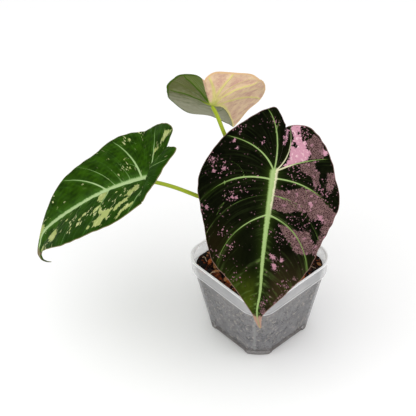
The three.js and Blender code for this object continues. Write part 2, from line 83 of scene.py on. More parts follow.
# Each blade hangs and bends as in the solids. Its margins are drawn more closely here: [across, along] from
# the tip round the lobe to the sinus. A vein is (margin place, start along the midrib, bow, skew, half-width
# at its base, strength), a minor vein (margin place, half-width, strength), and a twig is (start, control
# point, end, half-width, strength).
LEAVES = {
    "front": dict(
        junction=(8.8, -9.9, 155.3),
        heading=255.5, droop=46.5, roll=4.7,
        fold=7.5, curl=4.8, half_width=48, tip_bend=14.3, lobe_bend=10.4, twist=0,
        wave=1.2, ripple=0.25, tail_from=103, tail_turn=25, tail_slim=1.3, stalk_lean=0.3, lobe_flare=0,
        left=[(4, -108), (-3, -98), (-19, -80), (-34, -65), (-42.5, -45), (-51.5, -17),
              (-47.5, 3), (-37, 20.5), (-22.5, 33.5), (-12, 41), (-4, 43.5), (4.5, 33.5)],
        right=[(4, -108), (5, -98.5), (20, -80.5), (32, -64), (39, -45), (48, -17),
               (42.5, 2), (35.5, 19), (23.5, 32), (14, 34), (7, 32.5), (3, 30)],
        midrib=[(0, 0), (0.5, 0.5), (0.75, 1.5), (0.9, 0.7), (1, 4)],
        stem=[(1.5, -2.6), (3.5, 0, 80), (6.5, 4, 112), (9.2, 3.5, 138), (9.9, -3.6, 150)],
        veins_left=[(2.75, 0.27, 0.27, 0.5, 0.7, 1), (4.6, 0.05, 0.31, 0.5, 0.75, 1),
                    (7.0, 0, 0.29, 0.42, 0.7, 1), (9.3, 0, 0.2, 0.65, 0.7, 0.9)],
        veins_right=[(3.05, 0.27, 0.33, 0.5, 0.65, 1), (4.75, 0.04, 0.26, 0.55, 0.65, 0.9),
                     (6.7, 0, 0.10, 0.5, 0.6, 0.9), (9.95, 0, -0.3, 0.45, 0.5, 0.7)],
        minor_left=[(3.8, 0.3, 0.15)],
        twigs=[((-2.1, 27), (-1.5, 32), (0.5, 37), 0.45, 0.5),
               ((-19.8, -5.5), (-22.4, 2.6), (-33.8, 4), 0.4, 0.4),
               ((-33, -10.5), (-31, -17.5), (-31.1, -26.6), 0.35, 0.4),
               ((-31.1, -26.6), (-33.4, -28.8), (-35, -35), 0.35, 0.35),
               ((23.6, -8.6), (25.8, -11.7), (25.7, -19), 0.35, 0.7),
               ((4, -16), (11.8, -15.7), (31, -23.5), 0.4, 0.5),
               ((15, -40), (19, -45), (20, -50), 0.3, 0.4)],
        minor_right=[(4.0, 0.3, 0.2)],
        midrib_widths=(3.1, 0.5), sinus_bows=(0.13, -0.06), sinus_lifts=(1.1, -0.5),
        rows=26, columns=60,
    ),
    "left": dict(
        junction=(-78.7, -4, 147.2),
        heading=183.3, droop=14.5, roll=4.8,
        fold=22.5, curl=9.3, half_width=45, tip_bend=54.1, lobe_bend=55.9, twist=6.8,
        wave=1.0, ripple=0.25, tail_from=104, tail_turn=95, tail_slim=0.4, stalk_lean=1, lobe_flare=1,
        left=[(-4, -117), (-6.5, -101.5), (-20, -77), (-27.5, -59), (-35, -36.5), (-43, -20.5),
              (-43.3, 0.5), (-39.7, 17), (-26, 32.5), (-15.5, 39), (-9.5, 38), (-12.5, 31)],
        right=[(-4, -117), (1, -102.5), (24, -80.5), (37.5, -63), (47, -41), (50.6, -25),
               (44.8, 0), (47.4, 13), (37.8, 23.4), (27, 32), (19.3, 44.3), (11, 39.5)],
        midrib=[(0, 0), (0.4, -0.5), (0.6, -3.5), (0.7, -6), (0.78, -7.3), (0.87, -4.5), (0.92, -1),
                (1, -4)],
        stem=[(-3, 0), (-6.5, -0.3, 82), (-15, -0.9, 102), (-27.5, -1.6, 118.5), (-43.4, -2.2, 128.1),
              (-59.8, -3, 137.6), (-71.6, -3.5, 142.6)],
        veins_left=[(2.95, 0.24, 0.10, 0.5, 0.75, 0.8), (4.95, 0.02, 0.12, 0.4, 0.8, 0.8),
                    (7.25, 0, 0.13, 0.45, 0.7, 0.65)],
        veins_right=[(3.9, 0.23, 0.15, 0.5, 0.7, 0.7), (5.6, 0, 0.20, 0.4, 0.9, 0.8),
                     (9.5, 0, -0.12, 0.5, 0.6, 0.28)],
        minor_left=[(3.9, 0.4, 0.42), (4.35, 0.4, 0.36), (3.5, 0.4, 0.36),
                    (2.4, 0.35, 0.36), (1.9, 0.3, 0.3)],
        twigs=[((-10, -5), (-16, -8), (-18, -24), 0.35, 0.25),
               ((-30, -3), (-36, -8), (-38, -16), 0.3, 0.25)],
        minor_right=[(3.0, 0.4, 0.3), (2.2, 0.35, 0.2)],
        midrib_widths=(2.8, 0.8), sinus_bows=(-0.05, -0.15), sinus_lifts=(0.6, -0.6),
        rows=24, columns=54,
    ),
    "back": dict(
        junction=(-32.4, 29.5, 184.1),
        heading=71.4, droop=48.6, roll=-16.5,
        fold=23.5, curl=1.9, half_width=36, tip_bend=2.5, lobe_bend=38.4, twist=9.3,
        wave=0.5, ripple=0.08, tail_from=76, tail_turn=15, tail_slim=0.8, stalk_lean=0.3, lobe_flare=0,
        left=[(1, -79), (-4, -73.5), (-14, -60), (-24.5, -56), (-31, -39), (-35, -18),
              (-35, 2), (-31.5, 17), (-20, 25.5), (-9, 31.5), (-2, 29), (-1.5, 25)],
        right=[(1, -79), (3.5, -67), (12, -54), (26, -53), (32, -35), (34, -20),
               (31, -2), (28.8, 14.5), (21.5, 24.7), (15, 29.7), (4.5, 31.6), (-1, 27)],
        midrib=[(0, 0), (0.15, -4), (0.4, -4), (0.75, -1.7), (1, 1)],
        stem=[(1.5, 2.6), (0.5, 4, 84), (-5, 7.5, 112), (-13.5, 12.5, 138), (-24, 20, 164.9),
              (-29.6, 26, 178.6)],
        veins_left=[(3.2, 0.07, 0.26, 0.4, 0.9, 0.8), (5.8, 0, 0.42, 0.5, 1.0, 1),
                    (7.95, 0, 0.13, 0.5, 1.0, 1), (9.6, 0, -0.17, 0.5, 0.9, 1)],
        veins_right=[(3.1, 0.3, 0.20, 0.5, 0.6, 0.1), (4.2, 0.12, 0.2, 0.5, 0.6, 0.1),
                     (6.65, 0.03, 0.37, 0.45, 1.0, 1), (9.1, 0, 0.22, 0.6, 1.1, 1)],
        minor_left=[(4.6, 0.35, 0.3), (6.7, 0.35, 0.3)],
        twigs=[],
        minor_right=[(5.6, 0.35, 0.3), (7.6, 0.35, 0.3)],
        midrib_widths=(1.0, 0.35), sinus_bows=(0.02, 0.16), sinus_lifts=(-0.9, 0.7),
        rows=20, columns=44,
    ),
}

# Rows of a half start on the midrib at this share of the way to the tip, from the tip to the junction
FREE_STARTS = [(0, 1), (1, 0.9), (2, 0.62)]
LAST_PLACE = 11
SIDES = ("left", "right")


# Small maths helpers

def tone(text):
    """A colour written as it is seen, such as "#20300f", as linear red, green and blue."""
    seen = np.array([int(text[i:i + 2], 16) for i in (1, 3, 5)]) / 255
    return np.where(seen <= 0.04045, seen / 12.92, ((seen + 0.055) / 1.055) ** 2.4)


def smooth(value, low, high):
    share = np.clip((value - low) / (high - low), 0, 1)
    return share * share * (3 - 2 * share)


def blended(under, over, share):
    """One colour over another, each an array or written as for tone, with a share for each point."""
    under, over = (tone(colour) if isinstance(colour, str) else colour for colour in (under, over))
    return under + (over - under) * np.asarray(share)[..., None]


def spline(points, at):
    """The smooth curve through points, as in the solids, at the places at: whole numbers are the points."""
    points = np.array(points, float)
    padded = np.vstack([2 * points[0] - points[1], points, 2 * points[-1] - points[-2]])
    span = np.minimum(np.floor(at).astype(int), len(points) - 2)
    t = (at - span)[:, None]
    a, b, c, d = (padded[span + k] for k in range(4))
    return 0.5 * (2 * b + (c - a) * t + (2 * a - 5 * b + 4 * c - d) * t ** 2
                  + (3 * b - a - 3 * c + d) * t ** 3)


def bezier(start, control, end, t):
    return start * (1 - t) ** 2 + 2 * control * t * (1 - t) + end * t ** 2


def beside(a, b, across, along):
    """How far each point is from the line from a to b, and its share of the way along it."""
    run = np.subtract(b, a)
    ax, ay = across - a[0], along - a[1]
    share = np.clip((ax * run[0] + ay * run[1]) / (run @ run), 0, 1)
    return np.hypot(ax - share * run[0], ay - share * run[1]), share


def path_through(points, steps):
    """Evenly spaced points on a centripetal spline, the curve that the stalk solids follow."""
    points = np.array(points, float)
    padded = np.vstack([2 * points[0] - points[1], points, 2 * points[-1] - points[-2]])
    t = np.linspace(0, 1, 40, endpoint=False)[:, None]
    runs = []
    for i in range(len(points) - 1):
        p0, p1, p2, p3 = padded[i:i + 4]
        d0, d1, d2 = (math.sqrt(np.linalg.norm(b - a)) for a, b in ((p0, p1), (p1, p2), (p2, p3)))
        m1 = ((p1 - p0) / d0 - (p2 - p0) / (d0 + d1) + (p2 - p1) / d1) * d1
        m2 = ((p2 - p1) / d1 - (p3 - p1) / (d1 + d2) + (p3 - p2) / d2) * d1
        runs.append(p1 + m1 * t + (3 * (p2 - p1) - 2 * m1 - m2) * t ** 2
                    + (2 * (p1 - p2) + m1 + m2) * t ** 3)
    line = np.vstack(runs + [points[-1:]])
    length = np.concatenate([[0], np.cumsum(np.linalg.norm(np.diff(line, axis=0), axis=1))])
    wanted = np.linspace(0, length[-1], steps + 1)
    return np.stack([np.interp(wanted, length, line[:, k]) for k in range(3)], axis=1)


def waves(points, size, seed):
    """Smooth bumps of about the given size at each point, between about -1 and 1."""
    draw = np.random.default_rng(seed)
    total = np.zeros(len(points))
    for _ in range(7):
        direction = draw.normal(size=points.shape[1])
        direction *= draw.uniform(0.7, 1.5) * math.tau / (2 * size) / np.linalg.norm(direction)
        total += np.sin(points @ direction + draw.uniform(0, math.tau))
    return total / 3


def blade_waves(across, along, size, seed):
    """The same bumps over a grid of places on a blade."""
    spot = np.stack([across.ravel(), along.ravel()], axis=-1)
    return waves(spot, size, seed).reshape(across.shape)


# Meshes

def turned(points):
    """Points of the plant's own frame in the pot's."""
    angle = math.radians(PLANT_TURN)
    c, s = math.cos(angle), math.sin(angle)
    return np.asarray(points) @ np.array([[c, s, 0], [-s, c, 0], [0, 0, 1]])


def linked(name, data):
    thing = bpy.data.objects.new(name, data)
    bpy.context.scene.collection.objects.link(thing)
    return thing


def make_mesh(name, points, faces, materials, face_materials=None, fields=None):
    mesh = bpy.data.meshes.new(name)
    mesh.from_pydata((np.asarray(points) * MM).tolist(), [], faces)
    for material in materials:
        mesh.materials.append(material)
    if face_materials is not None:
        mesh.polygons.foreach_set("material_index", np.asarray(face_materials, np.int32))
    kinds = {1: ("FLOAT", "value"), 3: ("FLOAT_VECTOR", "vector"), 4: ("FLOAT_COLOR", "color")}
    for field, values in (fields or {}).items():
        values = np.asarray(values, np.float32)
        kind, key = kinds[1 if values.ndim == 1 else values.shape[1]]
        mesh.attributes.new(field, kind, "POINT").data.foreach_set(key, values.ravel())
    mesh.update()
    return linked(name, mesh)


def shade(thing, angle):
    thing.data.shade_smooth()
    thing.data.set_sharp_from_angle(angle=math.radians(angle))


def finish_piece(thing, node):
    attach(thing, "root")
    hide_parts(node)


def at_height(outline, z):
    """A flat outline's points at one height, or each at its own."""
    return np.column_stack([outline, z + np.zeros(len(outline))])


def capped_skin(rings):
    """Points and faces of a closed skin through rings, with a fan at both ends."""
    count = len(rings[0])
    points = np.vstack([*rings, rings[0].mean(0), rings[-1].mean(0)])
    faces = []
    for low in range(0, (len(rings) - 1) * count, count):
        for i in range(count):
            j = (i + 1) % count
            faces.append((low + i, low + j, low + count + j, low + count + i))
    low, high = len(points) - 2, len(points) - 1
    last = (len(rings) - 1) * count
    for i in range(count):
        j = (i + 1) % count
        faces += [(low, j, i), (high, last + i, last + j)]
    return points, faces


# Finishes

class Finish:
    """One material's node tree, with a short call for each kind of node used here."""

    def __init__(self, name, **surface):
        self.material = bpy.data.materials.new(name)
        self.material.use_nodes = True
        self.nodes = self.material.node_tree.nodes
        self.links = self.material.node_tree.links
        self.surface = self.nodes["Principled BSDF"]
        self.set(**surface)

    def set(self, **values):
        for name, value in values.items():
            self.feed(self.surface.inputs[name.replace("_", " ")], value)

    def feed(self, socket, value):
        if isinstance(value, bpy.types.NodeSocket):
            self.links.new(value, socket)
        elif socket.type == "RGBA":
            colour = tone(value) if isinstance(value, str) else value
            socket.default_value = (*colour[:3], 1)
        else:
            socket.default_value = value

    def node(self, kind, inputs, output=0, **options):
        made = self.nodes.new("ShaderNode" + kind)
        for name, value in options.items():
            setattr(made, name, value)
        for socket, value in inputs.items():
            self.feed(made.inputs[socket], value)
        return made.outputs[output]

    def field(self, name, output="Fac"):
        return self.node("Attribute", {}, output, attribute_name=name)

    def place(self):
        """Where a point is in the object's own axes, in metres."""
        return self.node("TexCoord", {}, "Object")

    def part(self, vector, axis):
        return self.node("SeparateXYZ", {0: vector}, axis)

    def height(self):
        """How high a point is, in millimetres."""
        return self.times(self.part(self.place(), "Z"), 1 / MM)

    def scaled(self, vector, factors):
        return self.node("VectorMath", {0: vector, 1: factors}, operation="MULTIPLY")

    def noise(self, vector, scale, detail=3, roughness=0.5, distortion=0):
        return self.node("TexNoise", {"Vector": vector, "Scale": scale, "Detail": detail,
                                      "Roughness": roughness, "Distortion": distortion}, "Fac")

    def cells(self, vector, scale, output, feature="F1"):
        return self.node("TexVoronoi", {"Vector": vector, "Scale": scale}, output, feature=feature)

    def cell_value(self, vector, scale):
        """One random number for each cell."""
        return self.node("SeparateColor", {0: self.cells(vector, scale, "Color")}, 0)

    def math(self, operation, a, b=0.0, c=0.0):
        return self.node("Math", {0: a, 1: b, 2: c}, operation=operation)

    def total(self, first, *others):
        for other in others:
            first = self.math("ADD", first, other)
        return first

    def centred(self, value):
        return self.math("SUBTRACT", value, 0.5)

    def times(self, first, *others):
        for other in others:
            first = self.math("MULTIPLY", first, other)
        return first

    def warped(self, vector, scale, amount):
        """A place pushed about by noise, so that what is drawn with it gets torn edges."""
        push = self.node("TexNoise", {"Vector": vector, "Scale": scale, "Detail": 2}, "Color")
        centred = self.node("VectorMath", {0: push, 1: (0.5, 0.5, 0.5)}, operation="SUBTRACT")
        pushed = self.scaled(centred, (amount, amount, amount))
        return self.node("VectorMath", {0: pushed, 1: vector}, operation="ADD")

    def step(self, value, low, high):
        """0 below low, 1 above high, and smooth between."""
        return self.node("MapRange", {0: value, 1: low, 2: high, 3: 0.0, 4: 1.0},
                         interpolation_type="SMOOTHSTEP")

    def fade(self, value, low, high):
        """1 below low, 0 above high, and smooth between."""
        return self.math("SUBTRACT", 1.0, self.step(value, low, high))

    def mix(self, share, a, b, blend="MIX"):
        made = self.nodes.new("ShaderNodeMix")
        made.data_type = "RGBA"
        made.blend_type = blend
        for socket, value in ((0, share), (6, a), (7, b)):
            self.feed(made.inputs[socket], value)
        return made.outputs[2]

    def darkened(self, share, colour, by):
        return self.mix(share, colour, self.mix(1.0, colour, by, "MULTIPLY"))

    def layers(self, colour, *over):
        """A colour under others, each given as where it lies, how much of it shows there, and its colour."""
        for where, most, layer in over:
            colour = self.mix(self.times(where, most), colour, layer)
        return colour

    def bump(self, height, distance, strength=1.0):
        """Relief from a height of 0 to 1 that stands for distance in millimetres."""
        normal = self.node("Bump", {"Height": height, "Distance": distance * MM, "Strength": strength})
        self.links.new(normal, self.surface.inputs["Normal"])


# Leaf form

def bend_angle(leaf, along):
    out = np.maximum(-along, 0)
    tail = np.maximum(0, out - leaf["tail_from"]) / 12
    tip = math.radians(leaf["tip_bend"]) * (out / 100) ** 1.3 + math.radians(leaf["tail_turn"]) * tail
    lobe = math.radians(leaf["lobe_bend"]) * (1 - np.exp(-np.maximum(along, 0) / 12))
    return np.where(along > 0, lobe, tip)


def blade_point(leaf, across, along):
    """A point of the blade's middle surface: x across, y to the lobes, z out of the top side."""
    steps = 24
    shares = (np.arange(steps) + 0.5) / steps
    angles = bend_angle(leaf, along[..., None] * shares)
    y = np.cos(angles).sum(-1) * along / steps
    z = np.sin(angles).sum(-1) * along / steps
    angle = bend_angle(leaf, along)
    soft = 2
    folded = math.tan(math.radians(leaf["fold"])) * (np.hypot(across, soft) - soft)
    height = folded - leaf["curl"] * (across / leaf["half_width"]) ** 2
    raised = LOBE_RISE * smooth(along, 0, 22) * smooth(across, 0, 9)
    lowered = LOBE_ROLL * np.clip(along / 40, 0, 1.2) ** 2 * np.clip(across, 0, 40)
    ruffle = LOBE_RUFFLE * np.exp(-((along - 2) / 12) ** 2) * smooth(across, 12, 42)
    height = height + leaf["lobe_flare"] * (raised - lowered + ruffle)
    twist = math.radians(leaf["twist"]) * along / 100
    x = across * np.cos(twist) - height * np.sin(twist)
    h = across * np.sin(twist) + height * np.cos(twist)
    return np.stack([x, y - np.sin(angle) * h, z + np.cos(angle) * h], axis=-1)


def blade_normal(leaf, across, along):
    step = 0.4
    side = blade_point(leaf, across + step, along) - blade_point(leaf, across - step, along)
    up = blade_point(leaf, across, along + step) - blade_point(leaf, across, along - step)
    normal = np.cross(side, up)
    return normal / np.linalg.norm(normal, axis=-1, keepdims=True)


def blade_axes(leaf):
    """The blade's across, along and top directions in the plant's frame, as rows."""
    heading, droop, roll = (math.radians(leaf[k]) for k in ("heading", "droop", "roll"))
    level = np.array([math.cos(heading), math.sin(heading), 0])
    down = level * math.cos(droop) - (0, 0, math.sin(droop))
    side = np.array([-level[1], level[0], 0])
    top = np.cross(down, side)
    top = top * math.cos(roll) + np.cross(down, top) * math.sin(roll)
    return np.array([np.cross(-down, top), -down, top])


def placed(leaf, local):
    return np.array(leaf["junction"]) + local @ blade_axes(leaf)


def midrib_across(leaf, share):
    """How far the midrib lies to one side, at a share of the way from the junction to the tip."""
    points = leaf["midrib"]
    line = spline(points, np.linspace(0, len(points) - 1, 80))
    return np.interp(share, line[:, 0], line[:, 1])


def vein_row(leaf, side, at, share):
    """The curved rows of one half, which its veins are among: across and along, a row for each at."""
    points = leaf[side]
    veins = leaf["veins_" + side]
    places = [v[0] for v in veins]
    knots = FREE_STARTS + [(v[0], v[1]) for v in veins] + [(LAST_PLACE, 0)]
    start_share = np.interp(at, *zip(*knots))
    bow_end = leaf["sinus_bows"][SIDES.index(side)]
    bow = np.interp(at, [0, 1, *places, LAST_PLACE], [0, 0.05, *(v[2] for v in veins), bow_end])
    skew = np.interp(at, [0, *places, LAST_PLACE], [0.5, *(v[3] for v in veins), 0.5])
    start = np.stack([midrib_across(leaf, start_share), points[0][1] * start_share], axis=-1)
    end = spline(points, at)
    spine = midrib_across(leaf, end[:, 1] / points[0][1])
    slim = leaf["tail_slim"] * np.maximum(at, 0.01) ** -0.35
    slim = slim + (1 - slim) * smooth(at, 0.5, 1)
    end[:, 0] = np.where(at < 1, spine + (end[:, 0] - spine) * slim, end[:, 0])
    ripple = leaf["ripple"] * smooth(at, 1.5, 2.5) * waves(end, 5, seed=5)
    end = end * (1 + ripple / np.linalg.norm(end, axis=-1))[:, None]
    chord = end - start
    sign = 1 if side == "left" else -1
    outward = sign * np.stack([chord[:, 1], -chord[:, 0]], axis=-1)
    control = start + chord * skew[:, None] + outward * bow[:, None]
    return bezier(start[:, None], control[:, None], end[:, None], share[None, :, None])


def distance_to_row(rows, row):
    """How far each point of the rows is from one of them, which has as many columns."""
    run = np.gradient(row, axis=0)
    run /= np.maximum(np.linalg.norm(run, axis=-1, keepdims=True), 1e-6)
    apart = rows - row[None]
    aside = np.abs(apart[..., 0] * run[None, :, 1] - apart[..., 1] * run[None, :, 0])
    ahead = np.abs((apart * run[None]).sum(-1))
    return np.hypot(aside, np.maximum(ahead - 2.5, 0))


def distance_to_twig(start, control, end, across, along):
    """How far each point is from a short curved side vein, and how far along it the nearest place is."""
    t = np.linspace(0, 1, 9)[:, None]
    curve = bezier(*(np.array(point) for point in (start, control, end)), t)
    nearest = np.full(across.shape, 1e9)
    reach = np.zeros(across.shape)
    for i in range(len(curve) - 1):
        apart, part = beside(curve[i], curve[i + 1], across, along)
        reach = np.where(apart < nearest, (i + part) / (len(curve) - 1), reach)
        nearest = np.minimum(nearest, apart)
    return nearest, reach


def depth_inside(outline, across, along):
    """Millimetres inside a closed outline, negative outside."""
    outline = np.array(outline, float)
    nearest = np.full(across.shape, 1e9)
    inside = np.zeros(across.shape, bool)
    for a, b in zip(outline, np.roll(outline, -1, axis=0)):
        nearest = np.minimum(nearest, beside(a, b, across, along)[0])
        crosses = (a[1] > along) != (b[1] > along)
        slope = (b[0] - a[0]) / (b[1] - a[1]) if b[1] != a[1] else 0
        inside ^= crosses & (across < (along - a[1]) * slope + a[0])
    return np.where(inside, nearest, -nearest)


def patches(marks, across, along):
    """Depth inside the nearest outline or round spot (across, along, radius)."""
    depth = np.full(across.shape, OUTSIDE)
    for outline in marks["outlines"]:
        depth = np.maximum(depth, depth_inside(outline, across, along))
    for x, y, radius in marks["spots"]:
        depth = np.maximum(depth, radius - np.hypot(across - x, along - y))
    return depth


def scatter(clusters, across, along):
    """How thick small flecks lie, from clusters (across, along, radius, share)."""
    share = np.zeros(across.shape)
    for x, y, radius, most in clusters:
        apart = (across - x) ** 2 + (along - y) ** 2
        share = np.maximum(share, most * np.exp(-apart / (0.7 * radius ** 2)))
    return share


# Markings, in millimetres from the junction: outlines, then round spots, then clusters of flecks. Cuts are
# spots where the ground shows in the pink and mauve.
OUTSIDE = -9.0
FRONT_PINK = dict(
    outlines=[
        [(8, 32), (11, 35), (15, 33), (15, 29), (17, 24), (20, 23), (21, 19), (24, 16), (22, 11), (16, 8),
         (6, 4), (10, 11), (9, 18), (11, 25)],
        [(32, 20), (36, 18), (33, 15)],
        [(5, 30), (7, 29), (5.5, 19), (4.5, 19)],
        [(27, -17), (29, -16), (31, -19), (29, -20)],
        [(34, -24), (37, -25), (39, -28), (36, -28)],
        [(5, -55), (9, -56), (10, -58.5), (7, -58)], [(7.5, -60), (11, -62), (11.5, -66), (8.5, -65)],
        [(13, -56), (15.5, -57), (15, -59.5), (13, -58.5)],
    ],
    spots=[(4, -41, 0.7), (-43, 3.5, 0.9), (-41, -5, 1.2),
           (-34, -3, 1.2), (-30, 18, 1.2), (-27, 13, 0.8), (-26, -21, 1.1), (-23, -20.5, 1.1),
           (-43, -30, 1.3), (-10, 19, 0.6), (-11, -5, 0.8), (-22, -54, 0.7), (-30, -62, 0.5)],
    flecks=[(-42, 2, 5, 0.34), (-35, -3, 5, 0.26), (-28, -45, 4, 0.22), (-44, -31, 4, 0.3),
            (-10, 18, 4, 0.06), (-3, 34, 4, 0.22), (-18, -12, 9, 0.07), (-27, -20, 5, 0.2),
            (-30, -62, 5, 0.12), (-17, -76, 6, 0.1), (-29, 28, 5, 0.24), (16, 2, 8, 0.15),
            (36, -9, 7, 0.3), (40, -27, 6, 0.2), (9, -60, 6, 0.16), (20, -76, 6, 0.16),
            (6, -88, 4, 0.25), (24, -32, 9, 0.17), (12, -44, 6, 0.12), (17, 29, 6, 0.3),
            (34, -46, 6, 0.16), (-22, -54, 4, 0.16), (-38, -40, 12, 0.015)],
)
FRONT_MAUVE = dict(
    outlines=[
        [(20, 24), (21, 26), (25, 29), (29, 26), (33, 20), (33, 14), (24, 12), (24, 16), (21, 20)],
        [(17, 8), (24, 10), (28, 12), (28, 7), (32, 3), (32, -4), (30, -8), (27, 0), (22, 2), (18, 4)],
        [(37, 4), (42, 5), (43, -3), (41, -9), (38, -7)],
        [(2, -11), (10, -12), (16, -10), (21, -8), (29, -9), (36, -13), (41, -18), (46, -21), (48, -25),
         (44, -30), (42, -37), (38, -36), (39, -29), (37, -27), (30, -28), (27, -24), (20, -24), (12, -26),
         (3, -25)],
        [(8, -34), (13, -35), (17, -36), (23, -37), (31, -36), (32, -40), (35, -44), (35, -50), (29, -52),
         (23, -52), (19, -46), (13, -41)],
        [(38, -38), (42, -38), (37, -52), (34, -50)],
        [(20, -78), (14, -86), (11, -89), (17, -81)],
    ],
    spots=[(5, -95, 2), (3, -91, 1.3), (18, -75, 1.2), (25, -69, 1.4)],
)
FRONT_CUTS = dict(
    outlines=[],
    spots=[(12, 20.5, 1.5), (13.3, 19, 1.1), (21, 28.5, 3.2), (18, 31, 2), (16, -7, 2), (13.5, 29, 0.8)],
)
LEFT_CREAM = dict(
    outlines=[
        [(8, -4), (20, -3.5), (27, -8), (25, -11), (20, -10), (13, -7)],
        [(28, -9), (32, -10), (34, -14), (39, -18), (36, -20), (32, -18), (30, -14)],
        [(38, -6), (42, -9), (43, -13), (47, -18), (42, -15), (38, -11)],
        [(23, -30), (32, -28), (34, -20), (38, -22), (45, -24), (42, -26), (48, -28), (45, -34), (39, -34),
         (36, -28), (30, -31)],
        [(3, -27), (10, -28), (17, -30), (14, -33), (7, -34), (2, -31)],
        [(20, -30), (26, -32), (28, -35), (26, -36), (22, -34)],
        [(9, -71), (19, -68), (26, -71), (21, -75), (9, -81), (7, -76)],
        [(12, -86), (19, -84), (5, -98), (0, -100), (2, -94)],
        [(-9, -85), (-12, -87), (-12, -93), (-8, -97), (-8, -90)],
        [(-14, 36), (-11, 38), (-12, 32), (-13, 26), (-16, 25), (-16, 30), (-18, 33)],
        [(-14, 20), (-14, 12), (-16.5, 12), (-17, 16)],
    ],
    spots=[(12, -19.5, 1.2), (24, -11.5, 1.1), (23, -42, 1.4), (26, -46, 1), (31, -46, 1), (12, -60, 1.1),
           (41, -38, 1.6), (18, -80, 0.9), (30, -53, 0.8), (25, -20, 0.9), (43, -22, 1), (-36, -8, 1.1),
           (-11, -10, 0.9), (-20, -12, 0.6), (-25, -24, 0.6), (-44, -4, 1), (-44, 6, 1.2)],
    flecks=[(27, -34, 10, 0.22), (25, -14, 8, 0.2), (24, -53, 8, 0.16), (14, -77, 8, 0.16),
            (-14, -13, 5, 0.13), (-44, 2, 6, 0.22), (-15, 20, 4, 0.24),
            (20, -90, 8, 0.16), (-36, -10, 3, 0.15), (-9, -90, 6, 0.3),
            (-24, 3, 14, 0.015), (-18, -66, 14, 0.02)],
)
BACK_FLECKS = [(12, 5, 14, 0.06), (14, -30, 14, 0.06)]


def blade_fields(leaf, side, rows, at, share):
    """What each point of a half's rows is to the finish: veins, glow, margin and markings."""
    across, along = rows[..., 0], rows[..., 1]
    gone = np.clip(along / leaf[side][0][1], 0, 1)
    middle = midrib_across(leaf, gone)
    base, end = leaf["midrib_widths"]
    midrib_width = base + (end - base) * gone ** 0.8
    from_midrib = np.where(along <= 0, np.abs(across - middle), np.hypot(across, along))
    rib = 1 - from_midrib / midrib_width
    glow = np.exp(-(np.maximum(from_midrib - midrib_width, 0) / 2.4)) * (1 - 0.4 * gone)
    dip = np.exp(-(from_midrib / (midrib_width * 1.1)) ** 2)
    nearest = from_midrib.copy()
    veins = [(v[0], *v[4:]) for v in leaf["veins_" + side]]
    for place, width, strength in veins + leaf["minor_" + side]:
        row = vein_row(leaf, side, np.array([place]), share)[0]
        apart = distance_to_row(rows, row)
        local = width * (1 - 0.62 * share)[None]
        faded = strength * (1 - smooth(share, 0.86, 1.0))[None]
        rib = np.maximum(rib, (1 - apart / local) * np.where(apart < local, faded, 1))
        glow = np.maximum(glow, 0.45 * faded * np.exp(-np.maximum(apart - local, 0) / 0.9))
        dip = np.maximum(dip, 0.8 * faded * np.exp(-(apart / (local + 0.5)) ** 2))
        nearest = np.minimum(nearest, apart + 3 * (1 - faded))
    for start, control, end, width, strength in leaf["twigs"]:
        apart, reach = distance_to_twig(start, control, end, across, along)
        local = width * (1 - 0.5 * reach)
        faded = strength * (1 - 0.6 * reach)
        rib = np.maximum(rib, (1 - apart / local) * np.where(apart < local, faded, 1))
        dip = np.maximum(dip, 0.5 * faded * np.exp(-(apart / (local + 0.5)) ** 2))
    length = np.linalg.norm(np.diff(rows, axis=1), axis=-1).sum(1)
    edge = (1 - share)[None] * length[:, None]
    return dict(rib=rib, glow=glow, dip=dip, nearest=nearest, edge=edge, across=across, along=along,
                place=at[:, None] + 0 * across, share=share[None] + 0 * across)


def ground_colour(name, fields, top):
    """The slow colour changes of a blade, before flecks and veins are drawn."""
    across, along, glow = fields["across"], fields["along"], fields["glow"]
    mottle = blade_waves(across, along, 7, seed=3) * 0.5 + blade_waves(across, along, 2.5, seed=4) * 0.35
    even = smooth(mottle, -1, 1)
    if name == "front":
        colour = blended("#060803", "#0e1106", even)
        # Lighter green towards the tip, mostly on the left half: a painted sheen
        tip_sheen = (0.65 + 0.2 * mottle) * smooth(-along, 62, 96) * smooth(-across, -3, 6)
        colour = blended(colour, "#526216", tip_sheen)
        colour = blended(colour, "#382f1b", 0.8 * smooth(-along, 45, 85) * smooth(across, 2, 14))
        colour = blended(colour, "#161c06", 0.6 * smooth(-along, 20, 60) * smooth(-across, 4, 30))
        colour = blended(colour, "#22150b", 0.5 * np.exp(-((across + 34) ** 2 + (along + 55) ** 2) / 120))
        colour = blended(colour, "#334713", 0.6 * glow)
        under = blended("#5d6446", "#6c5a55", even)
    elif name == "left":
        colour = blended("#183002", "#305406", smooth(mottle, -1, 1.1))
        # Darker green over the near half (across above 0): painted shade, as that half is less lit from
        # above
        colour = blended(colour, "#1b3805", 0.6 * smooth(across, 0, 30))
        colour = blended(colour, "#5c8a3c", 0.4 * glow)
        under = blended("#6f8f52", "#7f9a62", even)
    else:
        colour = blended("#10190a", "#1b270f", even)
        colour = blended(colour, "#36561d", 0.6 * glow)
        under = blended("#606538", "#a09f86", smooth(0.5 * mottle - along / 30, -0.7, 1.6))
        sinus_strip = smooth(fields["place"], 9.0, 9.3) * smooth(across, -6, 1)
        under = blended(under, "#5c7230", 0.6 * sinus_strip)
    return colour if top else blended(under, "#7f9450", 0.1 * glow)


